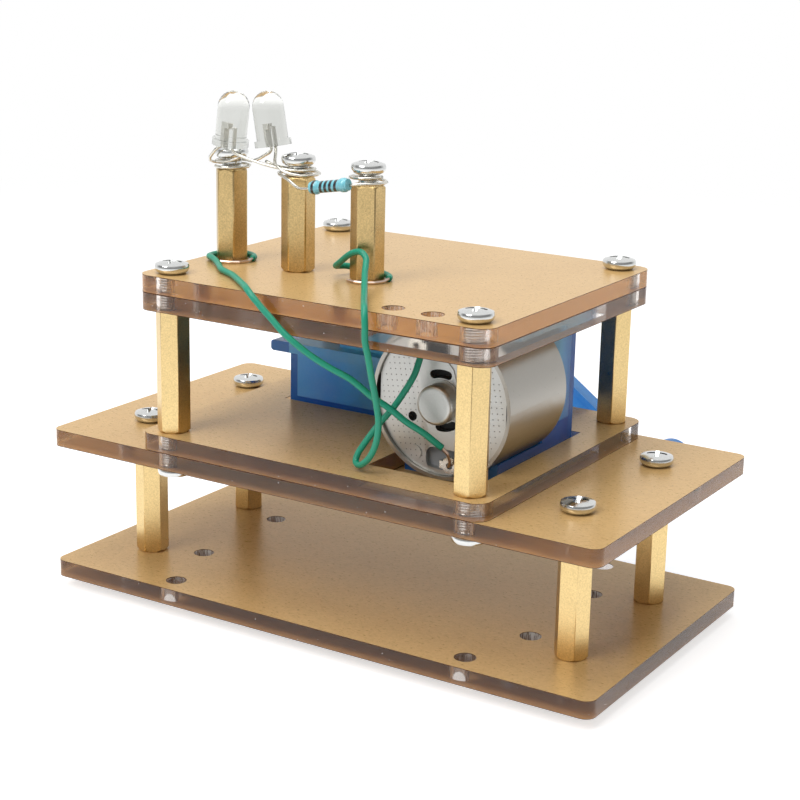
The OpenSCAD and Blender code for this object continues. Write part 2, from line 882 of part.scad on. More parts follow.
module commutator() {
    color([0.75, 0.45, 0.25])
        difference() {
            rod(motor_x, axis_z, rotor_shaft_r * 2.2, brush_front + gear_gap, rotor_front - gear_gap);
            rod(motor_x, axis_z, rotor_shaft_r + press_gap, cap_back, rotor_front);
        }
}

module crank_shaft() {
    bore = small_r + thread_gap;
    color([0.75, 0.76, 0.78])
        difference() {
            rod(crank_x, axis_z, crank_shaft_r, mid_y + gear_gap / 2, arm_y);
            rod(crank_x, axis_z, bore, arm_y - grip - gear_gap, arm_y + over);
        }
}

module arm_shape(half) {
    circle(r = half);
    translate([arm_l, 0])
        circle(r = half);
    translate([0, -half])
        square([arm_l, 2 * half]);
}

module web_shape() {
    half = arm_w - rim_w;
    difference() {
        translate([0, -half])
            square([arm_l, 2 * half]);
        circle(r = hub_r + rim_w / 2);
        translate([arm_l, 0])
            circle(r = arm_w + rim_w / 2);
    }
}

module along_arm(y0, y1) {
    along_y(y0, y1)
        translate([crank_x, axis_z])
            rotate(-arm_turn)
                children();
}

module crank_arm() {
    color([0.12, 0.45, 0.85])
        difference() {
            union() {
                along_arm(arm_y, arm_back)
                    arm_shape(arm_w);
                rod(crank_x, axis_z, hub_r, hub_y, arm_back);
            }
            along_arm(arm_y - over, arm_y + web_cut)
                web_shape();
            along_arm(arm_back - web_cut, arm_back + over)
                web_shape();
            rod(crank_x, axis_z, crank_shaft_r + press_gap, hub_y - over, arm_y);
            rod(crank_x, axis_z, small_r + 2 * thread_gap, hub_y, arm_back + over);
            rod(knob_x, knob_z, knob_pin_r + press_gap, arm_y - over, arm_back + over);
        }
}

module crank_screw() {
    color([0.75, 0.76, 0.78])
        translate([crank_x, arm_back, axis_z])
            rotate([-90, 0, 0])
                screw(arm_t + grip, small_r, boss_r * 0.9, head_h / 2);
}

module knob_pin() {
    color([0.75, 0.76, 0.78]) {
        rod(knob_x, knob_z, knob_pin_r, arm_y, knob_end + gear_gap / 2);
        translate([knob_x, knob_end + gear_gap / 2, knob_z])
            rotate([-90, 0, 0])
                rotate_extrude()
                    intersection() {
                        circle(r = knob_pin_r * 1.8);
                        square([knob_pin_r * 1.8, knob_pin_r * 0.8]);
                    }
    }
}

// The grip: rounded ends and a shallow waist
module crank_knob() {
    waist_r = knob_l * 1.6;
    edge = knob_r * 0.28;
    color([0.12, 0.45, 0.85])
        translate([knob_x, knob_y, knob_z])
            rotate([-90, 0, 0])
                difference() {
                    rotate_extrude()
                        difference() {
                            union() {
                                square([knob_r - edge, knob_l]);
                                translate([0, edge])
                                    square([knob_r, knob_l - 2 * edge]);
                                for (z = [edge, knob_l - edge])
                                    translate([knob_r - edge, z])
                                        circle(r = edge);
                            }
                            translate([knob_r + waist_r * 0.98, knob_l / 2])
                                circle(r = waist_r, $fn = 128);
                        }
                    translate([0, 0, -over])
                        cylinder(h = knob_l + 2 * over, r = knob_pin_r + run_gap);
                }
}

// Tubes swept along a list of points, each ring turned as little as possible
function unit(v) = v / norm(v);
function headings(p) = [for (i = [0:len(p) - 1]) unit(p[min(i + 1, len(p) - 1)] - p[max(i - 1, 0)])];
function square_to(t, v) = unit(v - (v * t) * t);
function carried(t, v, i = 0) = i == len(t) ? [] :
    let (s = square_to(t[i], v)) concat([s], carried(t, s, i + 1));
function ring_points(p, r, n) = let (t = headings(p), s = carried(t, [0.31, 0.52, 0.79]))
    [for (i = [0:len(p) - 1], k = [0:n - 1])
        p[i] + r * (cos(k * 360 / n) * s[i] + sin(k * 360 / n) * cross(t[i], s[i]))];
function skin(rings, n) = [for (i = [0:rings - 2], k = [0:n - 1])
    let (a = i * n + k, b = i * n + (k + 1) % n) each [[a, a + n, b], [b, a + n, b + n]]];
function lids(rings, n) = let (last = (rings - 1) * n)
    [for (k = [1:n - 2]) each [[0, k, k + 1], [last, last + k + 1, last + k]]];

module tube(p, d, n) {
    polyhedron(ring_points(p, d / 2, n), concat(skin(len(p), n), lids(len(p), n)), convexity = 8);
}

// Lamps: the middle of each underside, from its post's top and as shares of the lamp's
// radius, its lean and the turn of its leads
lamp_shares = [[0.62, -0.96, 1.6], [-1.92, 0, 1.68]];
lamp_leans = [7, -10];
lamp_turns = [-32, -39];

module at_lamp(i) {
    translate([post_spots[i].x, post_spots[i].y, post_top] + lamp_r * lamp_shares[i])
        rotate([0, lamp_leans[i], 0])
            rotate([0, 0, lamp_turns[i]])
                children();
}

module lamp_lenses() {
    color([0.93, 0.94, 0.95])
        for (i = [0, 1])
            at_lamp(i)
                rotate_extrude() {
                    square([flange_r, flange_t]);
                    square([lamp_r, lamp_h - lamp_r]);
                    translate([0, lamp_h - lamp_r])
                        intersection() {
                            circle(r = lamp_r);
                            square([lamp_r, lamp_r]);
                        }
                }
}

module lamp_frames() {
    post_hi = lamp_h * 0.36;
    leaf = wire_d * 0.9;
    color([0.85, 0.85, 0.82])
        for (i = [0, 1])
            at_lamp(i)
                for (side = [-1, 1])
                    translate([side * lamp_pitch / 2, 0, 0]) {
                        translate([-leaf / 2, -leaf / 2, 0])
                            cube([leaf, leaf, post_hi]);
                        translate([side > 0 ? -lamp_pitch * 0.3 : -leaf / 2, -leaf / 2, post_hi - leaf])
                            cube([side > 0 ? lamp_pitch * 0.3 + leaf / 2 : lamp_pitch * 0.45, leaf,
                                side > 0 ? leaf : 2 * leaf]);
                    }
}

// Routes of the lamps' leads: from the lens down to the posts and round their screws,
// for posts whose tops are at this height
wire_level = 69;
lamp_routes = [
    [[-25.53, -11.23, 73.1], [-25.6, -11.5, 72.85], [-25.8, -12.1, 72.75], [-26.15, -12.7, 72.6],
        [-26.6, -12.9, 72.2], [-27.2, -12.8, 71.6], [-27.9, -12.6, 70.9], [-28.6, -11.7, 70.2],
        [-29.1, -10.4, 69.8], [-29, -8.9, 69.5], [-28.1, -7.5, 69.4], [-26.8, -6.8, 69.4],
        [-25.2, -6.8, 69.4], [-23.8, -7.6, 69.4], [-23.1, -9, 69.4], [-23.3, -10.5, 69.4],
        [-24.3, -11.8, 69.4], [-25.7, -12.3, 69.4], [-27, -12, 69.35], [-27.9, -11.2, 69.3]],
    [[-23.37, -12.57, 72.84], [-23.4, -12.7, 72.5], [-23.2, -12.8, 72.15], [-22.8, -12.7, 71.85],
        [-22, -12.5, 71.6], [-20, -12.4, 71.1], [-18, -12.3, 70.7], [-16, -12.1, 70.4],
        [-14.4, -11.9, 70.2], [-12.9, -11.7, 70.1], [-11.5, -11.3, 70.1], [-10.6, -10.4, 70.1],
        [-10.4, -9.2, 70.1], [-10.9, -8, 70.1], [-12.1, -7.3, 70.05], [-13.6, -7.2, 70],
        [-14.9, -7.9, 69.95], [-15.5, -9.2, 69.95], [-16.2, -10.3, 70.2], [-17.2, -10.9, 70.6],
        [-18.1, -11.2, 71]],
    [[-18.79, -8.7, 73.02], [-18.72, -8.72, 72.7], [-18.7, -8.8, 72.4], [-18.9, -9.1, 72],
        [-19.5, -9.4, 71.6], [-20.4, -9.6, 71], [-21.4, -9.5, 70.6], [-22.4, -9, 70.35],
        [-23.3, -8, 70.2], [-24.4, -7.2, 70.1], [-25.8, -6.9, 70.05], [-27.2, -7.3, 70.05],
        [-28.2, -8.3, 70.1], [-28.4, -9.6, 70.15], [-28, -10.9, 70.15], [-26.9, -11.8, 70.2],
        [-25.5, -12.1, 70.3], [-24.2, -12, 70.6], [-23.3, -11.7, 71], [-22.7, -11.3, 71.3]],
    [[-16.81, -10.3, 73.35], [-16.7, -10.4, 72.9], [-16.5, -10.7, 72.4], [-16.2, -11.2, 71.9],
        [-15.8, -11.9, 71.4], [-15.2, -12.6, 70.9], [-14.3, -13, 70.5], [-13.1, -13.1, 70],
        [-11.9, -12.9, 69.7], [-10.7, -12.2, 69.5], [-9.8, -11, 69.45], [-9.6, -9.4, 69.45],
        [-10.1, -7.9, 69.45], [-11.3, -6.8, 69.45], [-12.8, -6.4, 69.4], [-14.2, -6.7, 69.4]]];

module lamp_leads() {
    color([0.82, 0.82, 0.78])
        for (p = lamp_routes)
            translate([0, 0, post_top - wire_level])
                tube(p, wire_d, 6);
}

// The resistor hangs between the second and third posts. Its left end, from the second
// post's top and as shares of the post's width
res_share = [1.12, -0.86, -0.18];
res_lean = 9.8;

module resistor_body() {
    cap_l = res_l * 0.24;
    edge = res_cap_r * 0.6;
    color([0.35, 0.68, 0.8])
        translate([post_spots[1].x, post_spots[1].y, post_top] + hex_w * res_share)
            rotate([0, 90 - res_lean, 0])
                rotate_extrude() {
                    square([res_r, res_l]);
                    for (z = [0, res_l - cap_l])
                        translate([0, z]) {
                            translate([0, edge])
                                square([res_cap_r, cap_l - 2 * edge]);
                            square([res_cap_r - edge, cap_l]);
                            for (y = [edge, cap_l - edge])
                                translate([res_cap_r - edge, y])
                                    intersection() {
                                        circle(r = edge);
                                        translate([edge - res_cap_r, -edge])
                                            square([res_cap_r, 2 * edge]);
                                    }
                        }
                }
}

res_routes = [
    [[-7.4, -13.8, 68.1], [-8.2, -13.8, 67.97], [-9.2, -13.8, 67.85], [-10, -13.75, 67.9],
        [-10.8, -13.6, 68.2], [-12, -13.3, 68.75], [-13.3, -12.95, 69.2], [-14.6, -12.3, 69.4],
        [-15.6, -11.2, 69.4], [-15.9, -9.8, 69.35], [-15.6, -8.8, 69.35], [-14.9, -8.1, 69.3], [-13.6, -7.6, 69.3],
        [-12.2, -7.7, 69.3], [-11.1, -8.6, 69.3], [-11, -10, 69.3], [-11.9, -11.1, 69.3],
        [-13.4, -11.4, 69.3]],
    [[-0.6, -13.8, 69.28], [0.2, -13.6, 69.42], [1.3, -12.9, 69.5], [2.3, -11.6, 69.45],
        [2.8, -9.9, 69.4], [2.5, -8.2, 69.4], [1.4, -7, 69.4], [-0.2, -6.6, 69.45],
        [-1.7, -7.1, 69.6], [-2.6, -8.4, 69.8], [-2.8, -9.8, 70], [-2.2, -11.2, 70.1],
        [-1, -12, 70.15], [0.4, -12, 70.2], [1.6, -11.3, 70.25], [2.2, -10.2, 70.3],
        [2.3, -9.2, 70.3]]];

module resistor_leads() {
    color([0.82, 0.82, 0.78])
        for (p = res_routes)
            translate([0, 0, post_top - wire_level])
                tube(p, wire_d, 6);
}

// Routes of the green leads: round a post's foot, over the roof's edge, to the motor
first_route = [[-22.55, -8.7, 54.55], [-23.1, -7.4, 54.55], [-24.4, -6.35, 54.55],
    [-26.1, -6, 54.55], [-27.8, -6.5, 54.55], [-29, -7.7, 54.55], [-29.5, -9.3, 54.55],
    [-29.3, -10.9, 54.6], [-28.5, -12.2, 54.75], [-27.3, -13.1, 54.85], [-25.7, -14.2, 54.75],
    [-23.9, -15.8, 54.6], [-22.3, -17.5, 54.6], [-20.8, -18.9, 54.6], [-19.1, -19.9, 54.6],
    [-17.1, -21.1, 54.6], [-15, -22.8, 54.6], [-12.9, -24.6, 54.6], [-10.9, -26.3, 54.6],
    [-9.5, -27.5, 54.4], [-8.3, -28, 53.7], [-6.7, -28, 52.3], [-4.7, -27.9, 50.6],
    [-3, -27.8, 49.1], [-1.3, -27.5, 47.8], [1, -26.5, 45.9], [3.9, -25.4, 44.1],
    [7.1, -24.3, 42.5], [9.9, -23, 40.1], [12.5, -21.8, 38.3], [14.6, -20.8, 36.5],
    [16.9, -19.6, 34.9], [18.5, -18.6, 33.4], [19.3, -18, 32.6]];
second_route = [[3.35, -8.5, 54.55], [2.7, -7.2, 54.55], [1.3, -6.2, 54.6], [-0.4, -5.95, 54.7],
    [-2.1, -6.2, 54.85], [-3.7, -6.8, 55.1], [-5, -7.6, 55.4], [-5.7, -8.8, 55.5],
    [-5.3, -10.2, 55.8], [-4.2, -11.3, 56.4], [-2.9, -12.2, 57.2], [-1.6, -12.9, 58.1],
    [-0.4, -13.4, 58.8], [0.9, -13.7, 59.3], [2, -13.95, 59.3], [2.9, -14.3, 58.6],
    [3.4, -15.1, 57.8], [4.1, -16.4, 56.9], [5.1, -18, 56], [6.4, -20, 55.2],
    [7.8, -22.2, 54.7], [9.5, -24.8, 54.6], [11.1, -27.2, 54.6], [11.8, -28.2, 53.6],
    [12.1, -28.5, 51.9], [12.1, -28.4, 49.8], [12.4, -28, 47.5], [12.7, -27.4, 44.2],
    [13, -26.6, 40.6], [13.1, -26, 37.3], [12.4, -25.4, 34.1], [11, -24.8, 31.5],
    [9.4, -24.3, 29.9], [8.2, -23.8, 29.4], [7.4, -23.2, 29.8], [7.5, -22.6, 30.9],
    [8, -22.1, 32], [8.9, -21.2, 33.8], [10, -20.2, 35.7], [11.4, -19.2, 37.8],
    [12.8, -18.3, 40.4], [13.9, -17.6, 42.8], [14.3, -17, 44.8], [14.5, -16.6, 46.1]];

module first_green_lead() {
    color([0.03, 0.5, 0.38])
        tube(first_route, lead_d, 8);
}

module second_green_lead() {
    color([0.03, 0.5, 0.38])
        tube(second_route, lead_d, 8);
}

// The leads' bare ends: round the front of a post's foot, and through the motor's eye
first_core_routes = [
    [[-22.55, -8.7, 54.55], [-22.5, -9.9, 54.35], [-23.2, -11.3, 54.3], [-24.4, -12.3, 54.3],
        [-25.9, -12.7, 54.3], [-27, -12.45, 54.3]],
    [[19.3, -18, 32.6], [19.9, -17.4, 31.6], [20, -16.8, 30.3], [19.5, -16.3, 29.3],
        [19.32, -15.6, 29.18], [19.32, -15.1, 29.18]]];
second_core_routes = [
    [[3.35, -8.5, 54.55], [3.35, -9.9, 54.35], [2.6, -11.4, 54.3], [1.3, -12.4, 54.3],
        [-0.2, -12.65, 54.3], [-1.8, -12.2, 54.3]],
    [[14.5, -16.6, 46.1], [14.6, -16.4, 46.9], [14.68, -16, 47.4], [14.68, -15.6, 47.6],
        [14.68, -15.1, 47.62]]];

module cores(routes) {
    color([0.75, 0.6, 0.5])
        for (p = routes)
            tube(p, core_d, 6);
}

module first_lead_cores() cores(first_core_routes);
module second_lead_cores() cores(second_core_routes);

base_plate();
deck_plate();
seat_plate();
lower_roof_plate();
upper_roof_plate();
paper_base();
paper_deck();
paper_seat();
paper_lower_roof();
paper_upper_roof();
lower_standoffs();
upper_standoffs();
terminal_posts();
base_screws();
deck_screws();
seat_screws();
roof_screws();
post_base_screws();
post_top_screws();
gear_case();
gear_cover();
gear_mid_plate();
cover_screws();
gear_pins();
motor_can();
motor_end_cap();
brush_holder();
motor_terminals();
motor_magnets();
motor_bushes();
motor_brushes();
lamp_lenses();
lamp_frames();
lamp_leads();
resistor_body();
resistor_leads();
first_green_lead();
second_green_lead();
first_lead_cores();
second_lead_cores();
crank_gear();
crank_shaft();
crank_arm();
crank_screw();
knob_pin();
crank_knob();
second_gear();
third_gear();
motor_shaft();
rotor_core();
rotor_windings();
commutator();
motor_pinion();
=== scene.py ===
# %% [markdown]
# A small hand crank generator. Five acrylic plates, still in their brown masking paper,
# stand on hexagonal brass standoffs. A crank turns a gear train, the gear train turns a
# motor, and the motor's current lights two lamps on brass posts. The solids come from the
# part's frame, at real size and in metres. This script gives each of them a finish, and
# makes the few pieces that a solid model can't show well.
# %% Load the frame
import math
import bpy
import bmesh
from mathutils import Matrix, Vector


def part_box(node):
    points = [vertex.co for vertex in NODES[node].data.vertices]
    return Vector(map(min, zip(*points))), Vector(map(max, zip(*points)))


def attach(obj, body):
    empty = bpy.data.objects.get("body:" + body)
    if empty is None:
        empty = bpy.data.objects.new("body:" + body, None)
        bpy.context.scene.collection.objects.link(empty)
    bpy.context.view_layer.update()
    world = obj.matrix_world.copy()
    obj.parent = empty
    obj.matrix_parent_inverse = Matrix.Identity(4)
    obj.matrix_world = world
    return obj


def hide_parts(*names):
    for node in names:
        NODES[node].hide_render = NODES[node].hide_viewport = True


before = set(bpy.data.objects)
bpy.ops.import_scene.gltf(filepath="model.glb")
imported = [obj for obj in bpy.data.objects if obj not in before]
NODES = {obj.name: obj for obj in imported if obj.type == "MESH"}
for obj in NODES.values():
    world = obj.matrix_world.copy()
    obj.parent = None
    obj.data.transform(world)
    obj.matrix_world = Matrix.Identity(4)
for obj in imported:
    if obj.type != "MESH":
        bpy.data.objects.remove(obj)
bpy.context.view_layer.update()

MM = 0.001


# %% [markdown]
# The camera stands where the photographer stood: to the right of the front, a little above
# the roof. A camera is placed by the point that it looks at, the two angles from which it
# looks, and the distance. It could be turned by hand until it looks right, but numbers can
# be compared and repeated. The field of view comes from the focal length in pixels of the
# picture, which is square, and the width of the sensor.
# %% Camera
AZIMUTH, ELEVATION, ROLL = (math.radians(angle) for angle in (31.791, 15.726, 1.202))
TARGET = Vector((0.455, 0.241, 32.682)) * MM
DISTANCE = 299.588 * MM
PICTURE = 800
FOCAL_IN_PIXELS = 1851.326
SENSOR = 36
NEAREST, FARTHEST = 10 * MM, 10

flat = math.cos(ELEVATION)
backward = Vector((math.sin(AZIMUTH) * flat, -math.cos(AZIMUTH) * flat, math.sin(ELEVATION)))
level_right = Vector((math.cos(AZIMUTH), math.sin(AZIMUTH), 0))
level_up = backward.cross(level_right)
right = math.cos(ROLL) * level_right + math.sin(ROLL) * level_up
upward = math.cos(ROLL) * level_up - math.sin(ROLL) * level_right
camera = bpy.data.objects.new("camera", bpy.data.cameras.new("camera"))
camera.data.sensor_width = SENSOR
camera.data.lens = SENSOR * FOCAL_IN_PIXELS / PICTURE
camera.data.clip_start, camera.data.clip_end = NEAREST, FARTHEST
camera.matrix_world = Matrix.Translation(TARGET + DISTANCE * backward) @ Matrix(
    (right, upward, backward)).transposed().to_4x4()
bpy.context.scene.collection.objects.link(camera)
bpy.context.scene.camera = camera
print("lens, mm", round(camera.data.lens, 2))

# %% [markdown]
# Two green leads carry the current from the motor to the posts. Each starts bare at the
# foot of a post, is wound round it, drops over the roof's front edge and ends at one of the
# motor's terminals. A lead keeps the length it was cut to, so its route is a list of points
# in millimetres. A curve with handles would need two of them at each point. This spline
# works out its own direction at a point from the two neighbours, and passes through it.
# %% Routes
def through(points, steps=5):
    """Points on a smooth line through the given ones."""
    line = [Vector(point) * MM for point in points]
    ends = [2 * line[0] - line[1]] + line + [2 * line[-1] - line[-2]]
    made = []
    for before, start, end, after in zip(ends, ends[1:], ends[2:], ends[3:]):
        for step in range(steps):
            t = step / steps
            made.append(0.5 * (2 * start + t * (end - before)
                + t * t * (2 * before - 5 * start + 4 * end - after)
                + t ** 3 * (3 * start - before - 3 * end + after)))
    return made + [line[-1]]


def length_of(line):
    return sum((after - before).length for before, after in zip(line, line[1:]))


bend = through([(0, 0, 0), (1, 0, 0), (1, 1, 0)])
print("a bend of three points becomes", len(bend), "points, mm", round(length_of(bend) / MM, 2))

# %% [markdown]
# The skin of a lead is a tube: a ring of corners at each place on the route. A ring keeps
# its neighbour's direction as far as it can, so the tube never twists. A curve object with a
# bevel would make the same tube, but its box is measured loosely, and a mesh's isn't. Such
# shapes are built as a bmesh, which holds corners and faces while they are worked on, and
# then turned into an object, which has to ride on one of the frame's bodies.
# %% Tubes and pieces
def tube(shape, line, radius, sides=12):
    """Adds a closed tube along a line to a bmesh."""
    turns = [2 * math.pi * k / sides for k in range(sides)]
    aside = (line[1] - line[0]).orthogonal()
    last = None
    for index, place in enumerate(line):
        along = (line[min(index + 1, len(line) - 1)] - line[max(index - 1, 0)]).normalized()
        aside = (aside - along * aside.dot(along)).normalized()
        other = along.cross(aside)
        ring = [shape.verts.new(place + radius * (math.cos(turn) * aside
            + math.sin(turn) * other)) for turn in turns]
        if last is None:
            shape.faces.new(ring[::-1])
        else:
            for k in range(sides):
                n = (k + 1) % sides
                shape.faces.new((last[k], last[n], ring[n], ring[k]))
        last = ring
    shape.faces.new(last)


def piece(name, shape, material=None, smooth=True):
    """Turns a bmesh into an object that rides on the frame. None keeps its own shading."""
    mesh = bpy.data.meshes.new(name)
    shape.to_mesh(mesh)
    shape.free()
    if smooth is not None:
        mesh.polygons.foreach_set("use_smooth", [smooth] * len(mesh.polygons))
    if material:
        mesh.materials.append(material)
    made = bpy.data.objects.new(name, mesh)
    bpy.context.scene.collection.objects.link(made)
    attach(made, "frame")
    print(name, "faces", len(mesh.polygons))
    return made


# %% [markdown]
# The real leads are stranded wire in a green skin, about a millimetre thick. Their bare ends
# stay the frame's own solids. The skins are made anew, because a skin of a few long solids
# has a crease at each joint, and a single tube has none.
# %% The green leads
LEAD = 1.0 * MM
LEAD_ROUTES = {
    "first": [(-22.55, -8.7, 54.55), (-23.1, -7.4, 54.55), (-24.4, -6.35, 54.55),
        (-26.1, -6, 54.55), (-27.8, -6.5, 54.55), (-29, -7.7, 54.55), (-29.5, -9.3, 54.55),
        (-29.3, -10.9, 54.6), (-28.5, -12.2, 54.75), (-27.3, -13.1, 54.85),
        (-25.7, -14.2, 54.75), (-23.9, -15.8, 54.6), (-22.3, -17.5, 54.6),
        (-20.8, -18.9, 54.6), (-19.1, -19.9, 54.6), (-17.1, -21.1, 54.6), (-15, -22.8, 54.6),
        (-12.9, -24.6, 54.6), (-10.9, -26.3, 54.6), (-9.5, -27.5, 54.4), (-8.3, -28, 53.7),
        (-6.7, -28, 52.3), (-4.7, -27.9, 50.6), (-3, -27.8, 49.1), (-1.3, -27.5, 47.8),
        (1, -26.5, 45.9), (3.9, -25.4, 44.1), (7.1, -24.3, 42.5), (9.9, -23, 40.1),
        (12.5, -21.8, 38.3), (14.6, -20.8, 36.5), (16.9, -19.6, 34.9), (18.5, -18.6, 33.4),
        (19.3, -18, 32.6)],
    "second": [(3.35, -8.5, 54.55), (2.7, -7.2, 54.55), (1.3, -6.2, 54.6), (-0.4, -5.95, 54.7),
        (-2.1, -6.2, 54.85), (-3.7, -6.8, 55.1), (-5, -7.6, 55.4), (-5.7, -8.8, 55.5),
        (-5.3, -10.2, 55.8), (-4.2, -11.3, 56.4), (-2.9, -12.2, 57.2), (-1.6, -12.9, 58.1),
        (-0.4, -13.4, 58.8), (0.9, -13.7, 59.3), (2, -13.95, 59.3), (2.9, -14.3, 58.6),
        (3.4, -15.1, 57.8), (4.1, -16.4, 56.9), (5.1, -18, 56), (6.4, -20, 55.2),
        (7.8, -22.2, 54.7), (9.5, -24.8, 54.6), (11.1, -27.2, 54.6), (11.8, -28.2, 53.6),
        (12.1, -28.5, 51.9), (12.1, -28.4, 49.8), (12.4, -28, 47.5), (12.7, -27.4, 44.2),
        (13, -26.6, 40.6), (13.1, -26, 37.3), (12.4, -25.4, 34.1), (11, -24.8, 31.5),
        (9.4, -24.3, 29.9), (8.2, -23.8, 29.4), (7.4, -23.2, 29.8), (7.5, -22.6, 30.9),
        (8, -22.1, 32), (8.9, -21.2, 33.8), (10, -20.2, 35.7), (11.4, -19.2, 37.8),
        (12.8, -18.3, 40.4), (13.9, -17.6, 42.8), (14.3, -17, 44.8), (14.5, -16.6, 46.1)],
}
leads = {}
for name, route in LEAD_ROUTES.items():
    line = through(route)
    skin = bmesh.new()
    tube(skin, line, LEAD / 2)
    lead = leads[name] = piece(name + "_lead", skin)
    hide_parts(name + "_green_lead")
    length_of(line)
    NODES[name + "_lead_cores"]
    print(name, "lead, mm", round(length_of(line) / MM, 1))

# %% [markdown]
# A finish is a small network of shader nodes. Written out node by node it can't be read, so
# helpers come first. A Link stands for a node's output, and arithmetic on it adds Math
# nodes, so that a mask can be written as 1 - wear * 0.3.
# %% Shader maths
class Link:
    """A node's output. Arithmetic on it adds Math nodes beside it."""

    def __init__(self, finish, socket):
        self.finish = finish
        self.socket = socket

    def __add__(self, other):
        return self.finish.maths("ADD", self, other)

    __radd__ = __add__

    def __sub__(self, other):
        return self.finish.maths("SUBTRACT", self, other)

    def __rsub__(self, other):
        return self.finish.maths("SUBTRACT", other, self)

    def __mul__(self, other):
        return self.finish.maths("MULTIPLY", self, other)

    __rmul__ = __mul__

    def __truediv__(self, other):
        return self.finish.maths("DIVIDE", self, other)

    def __pow__(self, other):
        return self.finish.maths("POWER", self, other)

    def __abs__(self):
        return self.finish.maths("ABSOLUTE", self)

    def above(self, edge, soft):
        """1 where the value is over the edge, 0 under it, with a soft step between."""
        return self.finish.add("ShaderNodeMapRange", {"interpolation_type": "SMOOTHSTEP"},
            {"Value": self, "From Min": edge - soft, "From Max": edge + soft})

    def below(self, edge, soft):
        return 1 - self.above(edge, soft)


print("a Link has", [name for name in vars(Link) if callable(getattr(Link, name))])

# %% [markdown]
# One method, add, makes every node. It takes the node's type, its settings, and the values
# or links of its sockets. The short methods after it are for the nodes that each finish
# needs. Colours are mixed with Mix nodes, because a Math node turns a colour grey.
# %% Nodes
class Nodes:
    """A material or a world, and the nodes in it."""

    def __init__(self, name, kind=bpy.data.materials):
        self.owner = kind.new(name)
        self.owner.use_nodes = True
        self.tree = self.owner.node_tree
        self.tree.nodes.clear()

    def add(self, kind, settings=None, values=None, output=0):
        node = self.tree.nodes.new(kind)
        for name, setting in (settings or {}).items():
            setattr(node, name, setting)
        for name, value in (values or {}).items():
            socket = node.inputs[name]
            if isinstance(value, Link):
                self.tree.links.new(value.socket, socket)
            elif socket.type == "RGBA":
                socket.default_value = (*value, 1)
            else:
                socket.default_value = value
        return Link(self, node.outputs[output]) if node.outputs else None

    def maths(self, operation, *values):
        return self.add("ShaderNodeMath", {"operation": operation}, dict(enumerate(values)))

    def blend(self, factor, low, high):
        """The colour low where the factor is 0, high where it is 1."""
        return self.add("ShaderNodeMix", {"data_type": "RGBA"},
            {0: factor, 6: low, 7: high}, 2)

    def either(self, factor, first, second):
        """The first shader where the factor is 0, the second where it is 1."""
        return self.add("ShaderNodeMixShader", values={0: factor, 1: first, 2: second})

    def bump(self, height, depth, strength):
        """A normal from a height of 0 to 1, where 1 is this depth in metres."""
        return self.add("ShaderNodeBump",
            values={"Strength": strength, "Distance": depth, "Height": height})

    def principled(self, **values):
        """The main shader. Names are the sockets' own, with _ for a space."""
        return self.add("ShaderNodeBsdfPrincipled",
            values={name.replace("_", " "): value for name, value in values.items()})

    def finish_with(self, shader):
        self.add("ShaderNodeOutputMaterial", values={"Surface": shader})
        print(self.owner.name, "has", len(self.tree.nodes), "nodes")
        return self.owner


print("Nodes has", [name for name in vars(Nodes) if name[0] != "_"])

# %% [markdown]
# Most patterns depend on where a point of the surface is, or on which way it faces. The
# place is read in metres in the part's own frame, so that a pattern keeps its real size. A
# class can be written in steps, and this one adds its methods to those of the last.
# %% Places
class Places(Nodes):
    """Nodes that tell where a point is and how it faces."""

    def place(self):
        return self.add("ShaderNodeTexCoord", output="Object")

    def axes(self):
        return [self.add("ShaderNodeSeparateXYZ", values={0: self.place()}, output=axis)
            for axis in range(3)]

    def facing(self, axis):
        """How far the surface faces along an axis of the room, either way: 0 to 1."""
        normal = self.add("ShaderNodeNewGeometry", output="Normal")
        return abs(self.add("ShaderNodeSeparateXYZ", values={0: normal}, output=axis))

    def top_side(self):
        """1 on faces that look up, seen from either side, 0 on the rest."""
        normal = self.add("ShaderNodeNewGeometry", output="Normal")
        behind = self.add("ShaderNodeNewGeometry", output="Backfacing")
        up = self.add("ShaderNodeSeparateXYZ", values={0: normal}, output=2)
        return (up * (1 - 2 * behind)).above(0, 0.1)

    def near(self, spots, radius):
        """1 within this radius of an upright line through one of the spots, 0 elsewhere."""
        x, y, _ = self.axes()
        ground = self.add("ShaderNodeCombineXYZ", values={"X": x, "Y": y})
        nearest = None
        for spot in spots:
            away = self.add("ShaderNodeVectorMath", {"operation": "DISTANCE"},
                {0: ground, 1: (spot[0] * MM, spot[1] * MM, 0)}, "Value")
            nearest = away if nearest is None else self.maths("MINIMUM", nearest, away)
        return nearest.below(radius, 0.02 * MM)


print("Places adds", [name for name in vars(Places) if name[0] != "_"])

